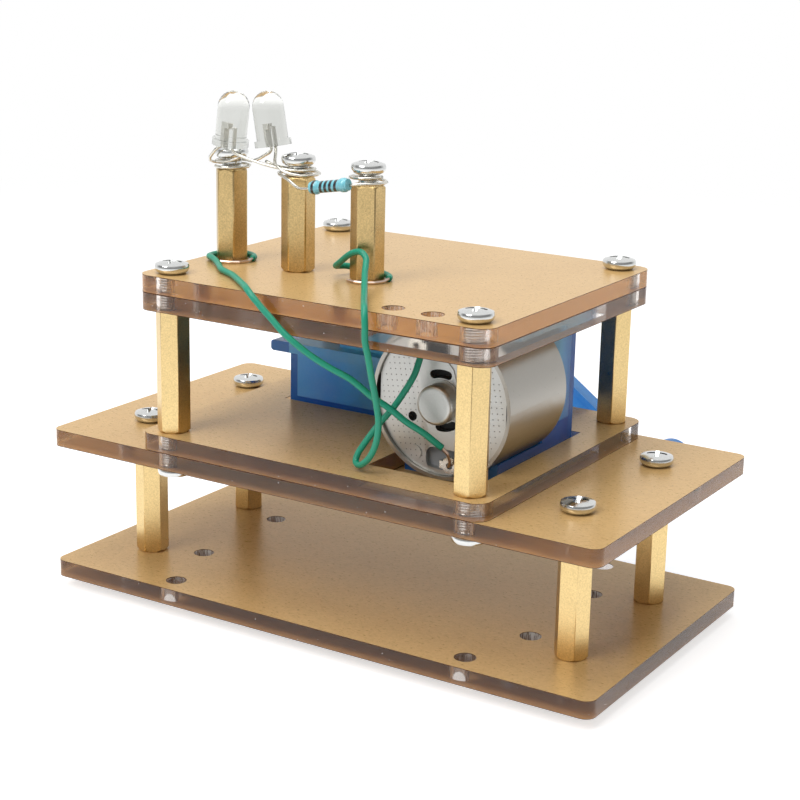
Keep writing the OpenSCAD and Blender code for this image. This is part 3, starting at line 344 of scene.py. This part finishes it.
# %% [markdown]
# Real surfaces are uneven, and noise at the right size shows it. Light matters too: a clear
# piece would throw a black shadow, because a path tracer sends a shadow ray straight to the
# lamp and acrylic bends light. So for light on its way in or out, a clear piece is a plain
# tinted pane.
# %% Patterns and rays
class Finish(Places):
    """One material, with everything that a finish here is made of."""

    def noise(self, size, detail=3, roughness=0.5, vector=None):
        """Even noise whose largest features are about this size, in metres."""
        return self.add("ShaderNodeTexNoise", {"noise_dimensions": "3D"},
            {"Vector": vector or self.place(), "Scale": 1 / size, "Detail": detail,
             "Roughness": roughness})

    def specks(self, size, radius_share):
        """1 inside round specks scattered in cells of this size, 0 between them."""
        away = self.add("ShaderNodeTexVoronoi", {"feature": "F1"},
            {"Vector": self.place(), "Scale": 1 / size}, "Distance")
        return away.below(radius_share, radius_share / 2)

    def ray(self, *kinds):
        """1 for rays of these kinds, 0 for the rest."""
        first, *others = (self.add("ShaderNodeLightPath", output=kind) for kind in kinds)
        for other in others:
            first = self.maths("MAXIMUM", first, other)
        return first

    def let_light_in(self, shader, tint):
        """The shader as seen, and a clear pane for light on its way in or out."""
        pane = self.add("ShaderNodeBsdfTransparent", values={"Color": tint})
        return self.either(self.ray("Is Shadow Ray", "Is Diffuse Ray"), shader, pane)


print("Finish adds", [name for name in vars(Finish) if name[0] != "_"])


# %% [markdown]
# Most pieces keep the frame's own mesh and only get a finish. A piece that needs another
# shape starts as a copy of the node's faces, so that it stays where the solid is.
# %% The frame's own nodes
def dress(material, *names):
    """Puts a finish on CAD nodes."""
    for name in names:
        for slot in NODES[name].material_slots:
            slot.material = material
    print(material.name, "is on", *names)


def copy_of(name):
    """A bmesh that starts as a CAD node's own faces."""
    shape = bmesh.new()
    shape.from_mesh(NODES[name].data)
    return shape


print("faces in the frame", sum(len(node.data.polygons) for node in NODES.values()))

# %% [markdown]
# The masking paper is thin kraft paper: tan, with clouds, soft mottling, flecks, long
# fibres, grain and a few dark specks. A picture of paper would need a file and a way to lay
# it on the faces. Noise needs neither, and five sizes of it are enough. It is a little glossy,
# so that brass bars mirror in it, and a small share of Metallic tints what it mirrors
# with its own colour, as its waxed skin does. The fibres are noise stretched along one
# axis, which a Mapping node does by scaling the place before the noise reads it. The laser
# that cut the plates scorched the paper's own edge, so a side face is dark.
#
# Kraft paper lets some light through, and that light is what makes the plates' clear edges
# glow brown. So the paper stops no light on its way to the acrylic: the acrylic's own flat
# faces, just under it, stop what has to be stopped.
# %% Kraft paper
PAPER_LIGHT = (0.68, 0.455, 0.2)
PAPER_DARK = (0.5, 0.31, 0.12)
PAPER_CONTRAST = 3.2
PAPER_SPECK = (0.13, 0.065, 0.03)
SCORCHED = (0.07, 0.03, 0.015)
FIBRE_SLANT = 0.4
FIBRE_STRETCH = (0.45, 1, 1)


def kraft_paper():
    finish = Finish("kraft_paper")
    cloud = finish.noise(14 * MM)
    mottle = finish.noise(1.6 * MM, 4, 0.6)
    fleck = finish.noise(0.5 * MM, 3, 0.6)
    along = finish.add("ShaderNodeMapping", values={"Vector": finish.place(),
        "Rotation": (0, 0, FIBRE_SLANT), "Scale": FIBRE_STRETCH})
    fibre = finish.noise(0.3 * MM, 5, 0.7, along)
    grain = finish.noise(0.14 * MM, 2, 0.6)
    level = 0.5 + PAPER_CONTRAST * (0.12 * cloud + 0.16 * mottle + 0.38 * fleck
        + 0.24 * fibre + 0.1 * grain - 0.5)
    tone = finish.blend(level, PAPER_DARK, PAPER_LIGHT)
    speck = finish.specks(5.5 * MM, 0.026) + 0.5 * finish.specks(1.1 * MM, 0.05)
    face = finish.blend(speck * 0.7, tone, PAPER_SPECK)
    flat_part = finish.facing(2).above(0.5, 0.1)
    relief = fibre * 0.4 + fleck * 0.3 + grain * 0.3
    sheet = finish.principled(Base_Color=finish.blend(flat_part, SCORCHED, face),
        Metallic=0.2, Roughness=0.22 + 0.14 * fibre, Specular_IOR_Level=0.18,
        Normal=finish.bump(relief, 0.016 * MM, 0.5))
    return finish.finish_with(finish.let_light_in(sheet, (1, 1, 1)))


PAPER = kraft_paper()

# %% [markdown]
# The paper nodes lie exactly on the acrylic, and two surfaces in one place fight over each
# ray. A whole sheet could be lifted, but then it would stand proud of the plate. Each sheet
# is therefore made anew from the node's own faces, with only its glued side drawn back, by a
# hundredth of a millimetre.
# %% Sheets of paper
PLATES = ("base", "deck", "seat", "lower_roof", "upper_roof")
GLUE = 0.01 * MM
for plate in PLATES:
    low, high = (corner[2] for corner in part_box(plate + "_plate"))
    sheet = copy_of("paper_" + plate)
    for corner in sheet.verts:
        if abs(corner.co.z - low) < GLUE:
            corner.co.z -= GLUE
        elif abs(corner.co.z - high) < GLUE:
            corner.co.z += GLUE
    made = piece("kraft_" + plate, sheet, PAPER, smooth=False)
    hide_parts("paper_" + plate)
    print(plate, "acrylic, mm", round((high - low) / MM, 2))

# %% [markdown]
# The acrylic between the papers shows at its laser-cut edges and in its holes. The edges are
# clear, with the fine upright ridges that a laser leaves, and a few chips. The walls of the
# holes are frosted, and a wall seen from inside the plate is a pale, streaked column. A
# material can't know what a hole is, so the holes' places are written down.
# %% Holes and storeys
LOW_SPOTS = [(x, y) for x in (-40, 40) for y in (-13.7, 13.7)]
TOP_SPOTS = [(x, y) for x in (-27.3, 27.3) for y in (-23.2, 23.2)]
POST_SPOTS = [(x, -9.5) for x in (-26, -13, 0)]
EMPTY_ROOF_SPOTS = [(13.4, -23), (20.1, -23)]
EMPTY_BASE_SPOTS = [(x, y) for x in (-31.5, 31.5) for y in (-10.5, 10.5)]
WALL = 1.85 * MM
DECK_LEVEL = 12 * MM
ROOF_LEVEL = 40 * MM


def storeys(finish):
    """A mask of what is above the base, and one of what is above the deck and the seat."""
    height = finish.axes()[2]
    return height.above(DECK_LEVEL, 2 * MM), height.above(ROOF_LEVEL, 2 * MM)


print("holes with screws", len(LOW_SPOTS + TOP_SPOTS + POST_SPOTS))

# %% [markdown]
# A laser leaves ridges that run straight through the plate. They are far too fine to model,
# so they are noise that is squeezed in its reading of the height, which draws it out upright.
# A Bump node turns it into a tilt of the surface, and the clear edge breaks up the light.
# %% Cut edges
ACRYLIC_IOR = 1.49
ACRYLIC = (0.96, 0.9, 0.86)
RIDGE_STRETCH = 0.12
FROST_DARK = (0.36, 0.3, 0.26)
FROST_LIGHT = (1.0, 0.98, 0.95)
SCREW_FROST, ROOF_FROST, BASE_FROST, CHIP_FROST = 0.2, 0.3, 0.6, 0.6


def cut_edge(finish):
    """Clear acrylic, frosted on the walls of holes and in chips."""
    stretched = finish.add("ShaderNodeMapping",
        values={"Vector": finish.place(), "Scale": (1, 1, RIDGE_STRETCH)})
    ridges = finish.noise(0.22 * MM, 3, 0.6, stretched)
    ripple = finish.noise(2.5 * MM)
    edge = finish.principled(Base_Color=ACRYLIC, Transmission_Weight=1.0, IOR=ACRYLIC_IOR,
        Roughness=0.04 + 0.14 * ripple,
        Normal=finish.bump(ridges * 0.6 + ripple * 0.4, 0.06 * MM, 0.4))
    frost = finish.principled(
        Base_Color=finish.blend(ridges.above(0.5, 0.06), FROST_DARK, FROST_LIGHT),
        Roughness=0.2, Normal=finish.bump(ridges, 0.1 * MM, 0.8))
    deck, roof = storeys(finish)
    walls = SCREW_FROST * finish.near(LOW_SPOTS + TOP_SPOTS, WALL) \
        + ROOF_FROST * finish.near(POST_SPOTS + EMPTY_ROOF_SPOTS, WALL) * roof \
        + BASE_FROST * finish.near(EMPTY_BASE_SPOTS, WALL) * (1 - deck)
    chips = CHIP_FROST * finish.specks(1.3 * MM, 0.06)
    return finish.either(walls + chips, edge, frost)


print("ridges are drawn out, times", round(1 / RIDGE_STRETCH, 1))

# %% [markdown]
# The paper is glued on, so from inside the plate the eye sees the paper's brown back and not
# a mirror. The flat faces of the acrylic are that back. It reflects some light and lets some
# through. The share that it lets through is painted shade: it is smaller on the lower plates,
# which the plates above shade, and on a plate's lower side, which gets little light from
# below. The roof, which nothing covers, lets the most through.
# Both looks go into one material, chosen by which way a face points. A second material on
# the flat faces would do as well, but a frame's node keeps its mesh as it came.
# %% Acrylic
PAPER_BACK = (0.56, 0.32, 0.12)
PAPER_BACK_DARK = (0.3, 0.16, 0.08)
PAPER_GLOW = (1.0, 0.55, 0.13)
# Shares of light let through the paper; the lower storeys' smaller shares are painted shade.
UPPER_GLOW_AND_SHADE = {"base": 0.08, "deck": 0.15, "roof": 0.37}
LOWER_GLOW_AND_SHADE = {"base": 0.03, "deck": 0.1, "roof": 0.14}
PANE = (0.97, 0.93, 0.89)


def paper_back(finish):
    """The brown back of the paper with the light through it, less lower down as painted shade.
    """
    deck, roof = storeys(finish)
    upper, lower = (glows["base"] + (glows["deck"] - glows["base"]) * deck
        + (glows["roof"] - glows["deck"]) * roof for glows in (UPPER_GLOW_AND_SHADE, LOWER_GLOW_AND_SHADE))
    top = finish.top_side()
    back = finish.principled(Roughness=0.14,
        Base_Color=finish.blend(finish.noise(3 * MM, 4), PAPER_BACK_DARK, PAPER_BACK))
    glow = finish.add("ShaderNodeBsdfTranslucent", values={"Color": PAPER_GLOW})
    return finish.either(upper * top + lower * (1 - top), back, glow)


def clear_acrylic():
    finish = Finish("clear_acrylic")
    flat_part = finish.facing(2).above(0.5, 0.1)
    return finish.finish_with(finish.either(flat_part,
        finish.let_light_in(cut_edge(finish), PANE), paper_back(finish)))


dress(clear_acrylic(), *(plate + "_plate" for plate in PLATES))

# %% [markdown]
# Metals. The standoffs are turned from hexagonal brass bar, which leaves a satin, grainy
# skin. The posts are of an older, darker batch. The screws are bright zinc. A metal needs
# little colour of its own: its look comes from the room it mirrors, and from how its
# roughness and fine grain break that up. One function makes them all, and a metal with
# marks of its own hands in an edit, which changes the four values before they are used.
# %% Metals
def metal(name, colour, roughness, grain_size, grain_depth, dull=0.8, contrast=1.4,
        edit=None):
    finish = Finish(name)
    grain = finish.noise(grain_size, 3, 0.6)
    cloud = finish.noise(grain_size * 12)
    tone = finish.blend(0.5 + contrast * (0.2 * cloud + 0.8 * grain - 0.5),
        tuple(channel * dull for channel in colour), colour)
    rough = roughness + 0.12 * (cloud - 0.5)
    height, shine = grain, 1.0
    if edit:
        tone, rough, height, shine = edit(finish, tone, rough, height)
    return finish.finish_with(finish.principled(Base_Color=tone, Metallic=shine,
        Roughness=rough, Normal=finish.bump(height, grain_depth, 0.7)))


BRASS = metal("brass", (0.86, 0.645, 0.31), 0.3, 0.24 * MM, 0.03 * MM, dull=0.7, contrast=2.6)
OLD_BRASS = metal("old_brass", (0.74, 0.54, 0.25), 0.3, 0.24 * MM, 0.04 * MM, dull=0.6,
    contrast=2.6)
ZINC = metal("zinc", (0.74, 0.75, 0.74), 0.17, 0.25 * MM, 0.003 * MM)
STEEL = metal("steel", (0.62, 0.62, 0.6), 0.25, 0.2 * MM, 0.002 * MM)
TINNED = metal("tinned_wire", (0.72, 0.7, 0.63), 0.24, 0.3 * MM, 0.001 * MM)
FRAME_METAL = metal("lamp_frame_metal", (0.86, 0.85, 0.8), 0.4, 0.3 * MM, 0.001 * MM)
COPPER = metal("bare_copper", (0.62, 0.48, 0.4), 0.3, 0.2 * MM, 0.003 * MM)
WINDINGS = metal("enamelled_copper", (0.62, 0.26, 0.1), 0.3, 0.2 * MM, 0.003 * MM)
BRONZE = metal("bronze", (0.55, 0.38, 0.22), 0.4, 0.1 * MM, 0.004 * MM)

# %% [markdown]
# The same few metals cover all the small parts, seen or hidden: zinc on the screws, steel on
# pins and shafts, tin on what is soldered, bare copper at the leads' ends, and brass and
# bronze inside the motor.
# %% Small metal parts
dress(ZINC, "base_screws", "deck_screws", "seat_screws", "roof_screws", "post_base_screws",
    "post_top_screws", "cover_screws")
dress(STEEL, "gear_pins", "crank_shaft", "crank_screw", "knob_pin", "motor_shaft",
    "rotor_core")
dress(TINNED, "motor_terminals")
dress(FRAME_METAL, "lamp_frames")
dress(COPPER, "first_lead_cores", "second_lead_cores")
dress(WINDINGS, "rotor_windings")
dress(BRASS, "motor_pinion", "commutator")
dress(BRONZE, "motor_bushes", "motor_brushes")

# %% [markdown]
# The thin wires are tubes of six flat sides in the part's frame. With smooth shading, a
# normal is blended from corner to corner, and the same few faces look round. Subdivision
# would round them too, at four times the faces. Corners that lie in one place have to be
# welded first, or each face keeps its own normal.
# %% Thin wires
WELD = 0.001 * MM
for name, made in (("lamp_leads", "lamp_wires"), ("resistor_leads", "resistor_wires")):
    strands = copy_of(name)
    bmesh.ops.remove_doubles(strands, verts=strands.verts, dist=WELD)
    wires = piece(made, strands, TINNED)
    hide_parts(name)

# %% [markdown]
# The motor's can is drawn steel with a satin plating. Its end cap is stamped: a smooth band
# runs across it over the nose, and each side of the band carries rows of small dimples. They
# are worked out from the place: the distance to the nearest point of a square grid. Each is a
# small dip in the relief, and its dark colour is painted shade in the dip. Hundreds of
# dimples in the mesh would show no more at this size.
# %% The motor's steel
MOTOR_X, MOTOR_Z = 17.0 * MM, 38.4 * MM
DOT_PITCH = 0.9 * MM
DOT_RADIUS = 0.11
# The dimples' dark colour is painted shade.
DIMPLE_SHADE = (0.06, 0.06, 0.06)
DOT_DEPTH = 3
BAND = 3.9 * MM
BAND_SLANT = 0.2
BAND_HEIGHT = 50
RIM = 10.6 * MM
SCUFF = (0.15, 0.14, 0.12)


def dotted(finish, tone, rough, height):
    x, _, z = finish.axes()
    across, up = x - MOTOR_X, z - MOTOR_Z
    cells = [finish.maths("FRACT", value / DOT_PITCH) - 0.5
        for value in (across + 0.18 * up, up - 0.12 * across)]
    away = (cells[0] * cells[0] + cells[1] * cells[1]) ** 0.5
    outward = abs(across) - BAND_SLANT * up
    inside = ((across * across + up * up) ** 0.5).below(RIM, 0.1 * MM)
    dots = away.below(DOT_RADIUS, 0.03) * outward.above(BAND, 0.1 * MM) * inside \
        * finish.facing(1).above(0.9, 0.02)
    band = outward.below(BAND, 0.7 * MM)
    return (finish.blend(dots * 0.75, tone, DIMPLE_SHADE), rough + 0.1 * dots,
        height - DOT_DEPTH * dots + BAND_HEIGHT * band, 1 - 0.6 * dots)


def rubbed(finish, tone, rough, height):
    scuff = finish.specks(1.6 * MM, 0.05)
    return finish.blend(scuff * 0.5, tone, SCUFF), rough, height, 1.0


dress(metal("can_steel", (0.42, 0.4, 0.365), 0.34, 0.1 * MM, 0.008 * MM, edit=rubbed),
    "motor_can")
dress(metal("cap_steel", (0.58, 0.58, 0.56), 0.4, 0.14 * MM, 0.005 * MM, edit=dotted),
    "motor_end_cap")

# %% [markdown]
# A drawn hexagon bar has slightly rounded corners, and each catches a thin line of light. A
# corner that is perfectly sharp catches none. The bars are made anew from the nodes' faces:
# the flat triangles are joined, and the long upright edges are bevelled by a fraction of a
# millimetre. A Bevel modifier would take every sharp edge, and the operator takes the ones
# that it is given. Only the bevels are shaded smooth.
# %% Brass bars
CORNER = 0.16 * MM
LONG = 5 * MM


def is_corner(edge):
    """Whether an edge is a long upright one, where two sides of a bar meet."""
    along = edge.verts[1].co - edge.verts[0].co
    upright = abs(along.z) > LONG and abs(along.z) > 0.99 * along.length
    return upright and edge.calc_face_angle(0) > math.radians(40)


def softened(name):
    """A node's faces with the bars' corners rounded off."""
    shape = copy_of(name)
    bmesh.ops.remove_doubles(shape, verts=shape.verts, dist=WELD)
    bmesh.ops.dissolve_limit(shape, angle_limit=math.radians(0.5), verts=shape.verts,
        edges=shape.edges)
    corners = [edge for edge in shape.edges if is_corner(edge)]
    for face in shape.faces:
        face.smooth = False
    made = bmesh.ops.bevel(shape, geom=corners, offset=CORNER, segments=3, profile=0.5,
        affect="EDGES", clamp_overlap=True)
    for face in made["faces"]:
        face.smooth = True
    print(name, "corners rounded", len(corners))
    return shape


for name, skin in (("lower_standoffs", BRASS), ("upper_standoffs", BRASS),
        ("terminal_posts", OLD_BRASS)):
    bars = piece(name[:-1] + "_bars", softened(name), skin, smooth=None)
    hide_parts(name)

# %% [markdown]
# Where a screw passes a plate, its thread shows through the clear edge as fine level lines.
# The nodes' shanks are plain, so a thread is laid round each: a ridge of three corners that
# climbs one pitch in each turn. A Screw modifier makes such a ridge too, but this one can
# end flat at the plate's two faces. Places and heights are in millimetres.
# %% Threads
PITCH = 0.4
TURN_STEPS = 16
RIDGE = ((1.45, -0.19), (1.65, 0), (1.45, 0.19))
THREADS = ((LOW_SPOTS, 0.02, 2.78), (LOW_SPOTS, 22.82, 25.58), (TOP_SPOTS, 22.82, 28.38),
    (TOP_SPOTS, 48.42, 53.98), (POST_SPOTS, 48.42, 53.98), (POST_SPOTS, 69.05, 70.55))


def thread(shape, spot, low, high):
    last = None
    for step in range(int((high - low) / PITCH * TURN_STEPS) + 1):
        turn = 2 * math.pi * step / TURN_STEPS
        level = low + step / TURN_STEPS * PITCH
        ring = [shape.verts.new(Vector((spot[0] + r * math.cos(turn),
            spot[1] + r * math.sin(turn), min(max(level + rise, low), high))) * MM)
            for r, rise in RIDGE]
        if last:
            for k in range(3):
                n = (k + 1) % 3
                shape.faces.new((last[k], last[n], ring[n], ring[k]))
        else:
            shape.faces.new(ring)
        last = ring
    shape.faces.new(last[::-1])


ridges = bmesh.new()
for spots, low, high in THREADS:
    for spot in spots:
        thread(ridges, spot, low, high)
bmesh.ops.recalc_face_normals(ridges, faces=ridges.faces)
piece("screw_threads", ridges, ZINC, smooth=False)

# %% [markdown]
# Plastics. A moulded face isn't one even colour: it has a fine, uneven frost, which the
# noise gives to its tone, its roughness and its relief. The gears and the magnets are of
# such plain plastic, and so is the leads' insulation, with a coarser grain.
# %% Plastics
def plastic(name, colour, roughness, grain_size=0.3 * MM):
    finish = Finish(name)
    grain = finish.noise(grain_size, 3, 0.6)
    cloud = finish.noise(grain_size * 8)
    level = 0.5 + 1.6 * (0.5 * grain + 0.5 * cloud - 0.5)
    dark = tuple(channel * 0.85 for channel in colour)
    return finish.finish_with(finish.principled(Base_Color=finish.blend(level, dark, colour),
        Roughness=roughness + 0.1 * grain, Normal=finish.bump(grain, 0.01 * MM, 0.5)))


dress(plastic("gear_plastic", (0.8, 0.8, 0.75), 0.35), "crank_gear", "second_gear",
    "third_gear", "gear_mid_plate")
dress(plastic("ferrite", (0.05, 0.05, 0.055), 0.5), "motor_magnets")
GREEN = plastic("green_insulation", (0.0, 0.27, 0.16), 0.36, 0.6 * MM)
for lead in leads.values():
    lead.data.materials.append(GREEN)

# %% [markdown]
# The gearbox and the crank are clear blue, with a frosted skin. Light that enters such a
# plastic leaves it somewhere else, so thin walls look lit from inside: a share of
# Translucent beside the Principled shader gives that at little cost. The gears show through
# the walls as soft shapes, and where the eye looks along a wall, the blue is deep. A
# material on a surface can't know how thick the wall is. A volume would, but it is slow to
# render and is lost when the model is exported. So the deep places of the case are written
# down: its left end, where the eye looks along the wall. Its foot and the cradle under the
# motor get the same deep blue as painted shade, and there the share of Translucent is smaller.
# %% Clear blue
CASE_LEFT = -23.0 * MM
CASE_WALL = 1.4 * MM
CASE_FOOT = 29.2 * MM
CRADLE_TOP = 31.6 * MM


# Deep blue at the left end for the wall seen edge-on; painted shade at the foot and the cradle.
def case_depth_and_shade(finish):
    x, _, z = finish.axes()
    ends = x.below(CASE_LEFT + CASE_WALL, 0.1 * MM)
    foot = z.below(CASE_FOOT, 0.1 * MM)
    cradle = z.below(CRADLE_TOP, 0.2 * MM) * x.above(0, 1 * MM)
    return finish.maths("MINIMUM", ends + foot + cradle, 1.0)


def clear_blue(name, pale, middle, clear, glow, deep=None):
    finish = Finish(name)
    grain = finish.noise(0.35 * MM, 3, 0.6)
    cloud = finish.noise(6 * MM)
    tone = finish.blend(0.5 + 3 * (0.7 * cloud + 0.3 * grain - 0.5), middle, pale)
    share = glow
    if deep:
        # Deep blue at the left end, and painted shade at the foot and under the motor.
        depth = case_depth_and_shade(finish)
        tone = finish.blend(depth, tone, deep)
        share = glow * (1 - 0.7 * depth)
    skin = finish.principled(Base_Color=tone, Transmission_Weight=clear, IOR=1.5,
        Roughness=0.14 + 0.16 * grain, Normal=finish.bump(grain, 0.03 * MM, 0.5))
    lit = finish.add("ShaderNodeBsdfTranslucent", values={"Color": middle})
    return finish.finish_with(finish.let_light_in(finish.either(share, skin, lit), pale))


dress(clear_blue("blue_case", (0.55, 0.88, 1.0), (0.24, 0.7, 1.0), 0.55, 0.45,
    deep=(0.01, 0.13, 0.52)), "gear_case")
dress(clear_blue("blue_cover", (0.1, 0.36, 0.82), (0.03, 0.17, 0.55), 0.5, 0.3),
    "gear_cover")
dress(clear_blue("blue_crank", (0.3, 0.66, 0.98), (0.1, 0.42, 0.9), 0.5, 0.35),
    "crank_arm", "crank_knob")

# %% [markdown]
# The motor's brush holder is grey in the window at the bottom of the cap. Behind the two
# slots beside the nose the motor is dark inside, so above the window the holder is painted
# near-black: painted shade of the motor's inside. Two materials would need the mesh cut at
# that height, so one material's colour follows the height instead.
# %% Brush holder
WINDOW_TOP = MOTOR_Z - 6.4 * MM
HOLDER_GREY = (0.24, 0.25, 0.26)
# Painted shade of the motor's dark inside, above the window.
HOLDER_PAINTED_SHADE = (0.004, 0.004, 0.004)


def holder_plastic():
    finish = Finish("grey_plastic")
    grain = finish.noise(0.3 * MM)
    low_down = finish.axes()[2].below(WINDOW_TOP, 0.2 * MM)
    return finish.finish_with(finish.principled(
        Base_Color=finish.blend(low_down, HOLDER_PAINTED_SHADE, HOLDER_GREY),
        Roughness=0.45 + 0.1 * grain, Specular_IOR_Level=0.3,
        Normal=finish.bump(grain, 0.01 * MM, 0.4)))


dress(holder_plastic(), "brush_holder")

# %% [markdown]
# The lamps are cast in clear resin over a small metal frame. Alpha would make them thin as
# air, and Transmission bends the light as a solid dome does. Resin is never quite clear, and
# the straight part, through which the eye sees the frame, is painted a little greyer than the
# dome: painted shade of what is seen through it.
# %% Lamps
DOME_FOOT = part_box("lamp_lenses")[1][2] - 2.6 * MM
# The straight part's greyer colour is painted shade.
SHADED_RESIN_COLUMN = (0.7, 0.71, 0.68)
RESIN_DOME = (0.8, 0.805, 0.78)


def clear_resin():
    finish = Finish("clear_resin")
    dome = finish.axes()[2].above(DOME_FOOT, 0.4 * MM)
    resin = finish.principled(Base_Color=finish.blend(dome, SHADED_RESIN_COLUMN, RESIN_DOME),
        Transmission_Weight=1.0, IOR=1.5, Roughness=0.03)
    return finish.finish_with(finish.let_light_in(resin, (0.95, 0.95, 0.95)))


dress(clear_resin(), "lamp_lenses")

# %% [markdown]
# The resistor is a small blue body with five dark bands, lacquered all over. The bands could
# be rings in the mesh, but paint has no thickness. A band is a range of the distance along
# the body, which lies level along x but for a slight lean. Coat gives the lacquer.
# %% Resistor
RESISTOR_LEFT, RESISTOR_RIGHT = (corner[0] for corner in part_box("resistor_body"))
BAND_SHARES = (0.13, 0.33, 0.45, 0.57, 0.7)
BAND_WIDTH = 0.035
BODY_DARK, BODY_LIGHT = (0.12, 0.42, 0.5), (0.2, 0.55, 0.64)
BAND_COLOUR = (0.012, 0.01, 0.012)


def banded():
    finish = Finish("resistor_blue")
    share = (finish.axes()[0] - RESISTOR_LEFT) / (RESISTOR_RIGHT - RESISTOR_LEFT)
    bands = sum(abs(share - middle).below(BAND_WIDTH, 0.008) for middle in BAND_SHARES)
    cloud = finish.noise(0.8 * MM)
    body = finish.blend(cloud, BODY_DARK, BODY_LIGHT)
    return finish.finish_with(finish.principled(
        Base_Color=finish.blend(bands, body, BAND_COLOUR), Roughness=0.25 + 0.1 * cloud,
        Coat_Weight=0.6, Normal=finish.bump(cloud + bands * 0.3, 0.02 * MM, 0.5)))


dress(banded(), "resistor_body")

# %% [markdown]
# The room. A white floor and a white world stand for a paper sweep. Camera, mirror and
# refracted rays see plain white, and the light itself comes from a soft world and two large
# lamps. A curved sweep would need a bend in the mesh. A flat floor does the same when it
# changes with the distance: near the part it mixes in plain white for the camera, so that
# it stays a page with a soft shadow on it, and far away it is white and nothing else.
# %% Floor
FLOOR_Z = -2.0 * MM
FLOOR_HALF = 1.5
SEEN = ("Is Camera Ray", "Is Glossy Ray", "Is Transmission Ray")
PAGE_SHARE = 0.3
PAGE_WHITE = 2.1
NEAR, FAR = 0.15, 0.45


def page():
    finish = Finish("page")
    matt = finish.add("ShaderNodeBsdfDiffuse", values={"Color": (0.9, 0.9, 0.9)})
    lifted, white = (finish.add("ShaderNodeEmission", values={"Color": (1, 1, 1),
        "Strength": strength}) for strength in (PAGE_WHITE, 1.0))
    seen = finish.ray(*SEEN)
    x, y, _ = finish.axes()
    away = ((x * x + y * y) ** 0.5).above((NEAR + FAR) / 2, (FAR - NEAR) / 2)
    return finish.finish_with(finish.either(away * seen,
        finish.either(PAGE_SHARE * seen, matt, lifted), white))


floor_mesh = bpy.data.meshes.new("floor")
floor_mesh.from_pydata([(x * FLOOR_HALF, y * FLOOR_HALF, FLOOR_Z)
    for x, y in ((-1, -1), (1, -1), (1, 1), (-1, 1))], [], [(0, 1, 2, 3)])
floor_mesh.materials.append(page())
floor = bpy.data.objects.new("floor", floor_mesh)
bpy.context.scene.collection.objects.link(floor)

# %% [markdown]
# In a room that is white all over, polished metal looks like plaster. Mirror rays that leave
# low over the floor therefore meet a darker band of wall, except behind the part, where the
# white sweep rises. The band stays where it is when the camera moves. A picture of a studio
# would give the same, but it would need a file. Each edge of the band is written as its
# place and its softness.
# %% World
WORLD_LIGHT = 0.55
BAND_LIGHT = 0.3
BAND_FOOT, BAND_TOP, SWEEP = (0.06, 0.08), (0.62, 0.16), (0.25, 0.25)
room = Finish("room", bpy.data.worlds)
bpy.context.scene.world = room.owner
toward = room.add("ShaderNodeTexCoord", output="Generated")
x, y, rise = (room.add("ShaderNodeSeparateXYZ", values={0: toward}, output=axis)
    for axis in range(3))
behind_part = math.cos(AZIMUTH) * y - math.sin(AZIMUTH) * x
band = rise.above(*BAND_FOOT) * rise.below(*BAND_TOP) * behind_part.below(*SWEEP)
soft, white, dim = (room.add("ShaderNodeBackground", values={"Color": (1, 1, 1),
    "Strength": strength}) for strength in (WORLD_LIGHT, 1.0, BAND_LIGHT))
sky = room.either(room.ray(*SEEN), soft, white)
sky = room.either(band * room.ray("Is Glossy Ray"), sky, dim)
room.add("ShaderNodeOutputWorld", values={"Surface": sky})
print("world nodes", len(room.tree.nodes))

# %% [markdown]
# Two lamps light the part: one nearly overhead, close and weak, and one high at the left,
# which makes the bright sides of the brass. A sun or a small lamp would throw a hard shadow.
# A large square one throws a soft shadow, as a softbox does in a studio. The view is set to
# Standard, which shows each colour about as it is written.
# %% Lamps of the room
def softbox(name, azimuth, elevation, distance, size, power):
    """A square lamp that faces the part from this direction, in degrees and metres."""
    a, e = math.radians(azimuth), math.radians(elevation)
    back = Vector((math.sin(a) * math.cos(e), -math.cos(a) * math.cos(e), math.sin(e)))
    lamp = bpy.data.lights.new(name, "AREA")
    lamp.size = size
    lamp.energy = power
    made = bpy.data.objects.new(name, lamp)
    made.location = TARGET + distance * back
    made.rotation_euler = back.to_track_quat("Z", "Y").to_euler()
    bpy.context.scene.collection.objects.link(made)
    print(name, "watts", power)


softbox("top_light", azimuth=0, elevation=80, distance=0.4, size=0.3, power=0.95)
softbox("left_light", azimuth=-20, elevation=42, distance=0.9, size=0.4, power=3.4)

bpy.context.scene.view_settings.view_transform = "Standard"
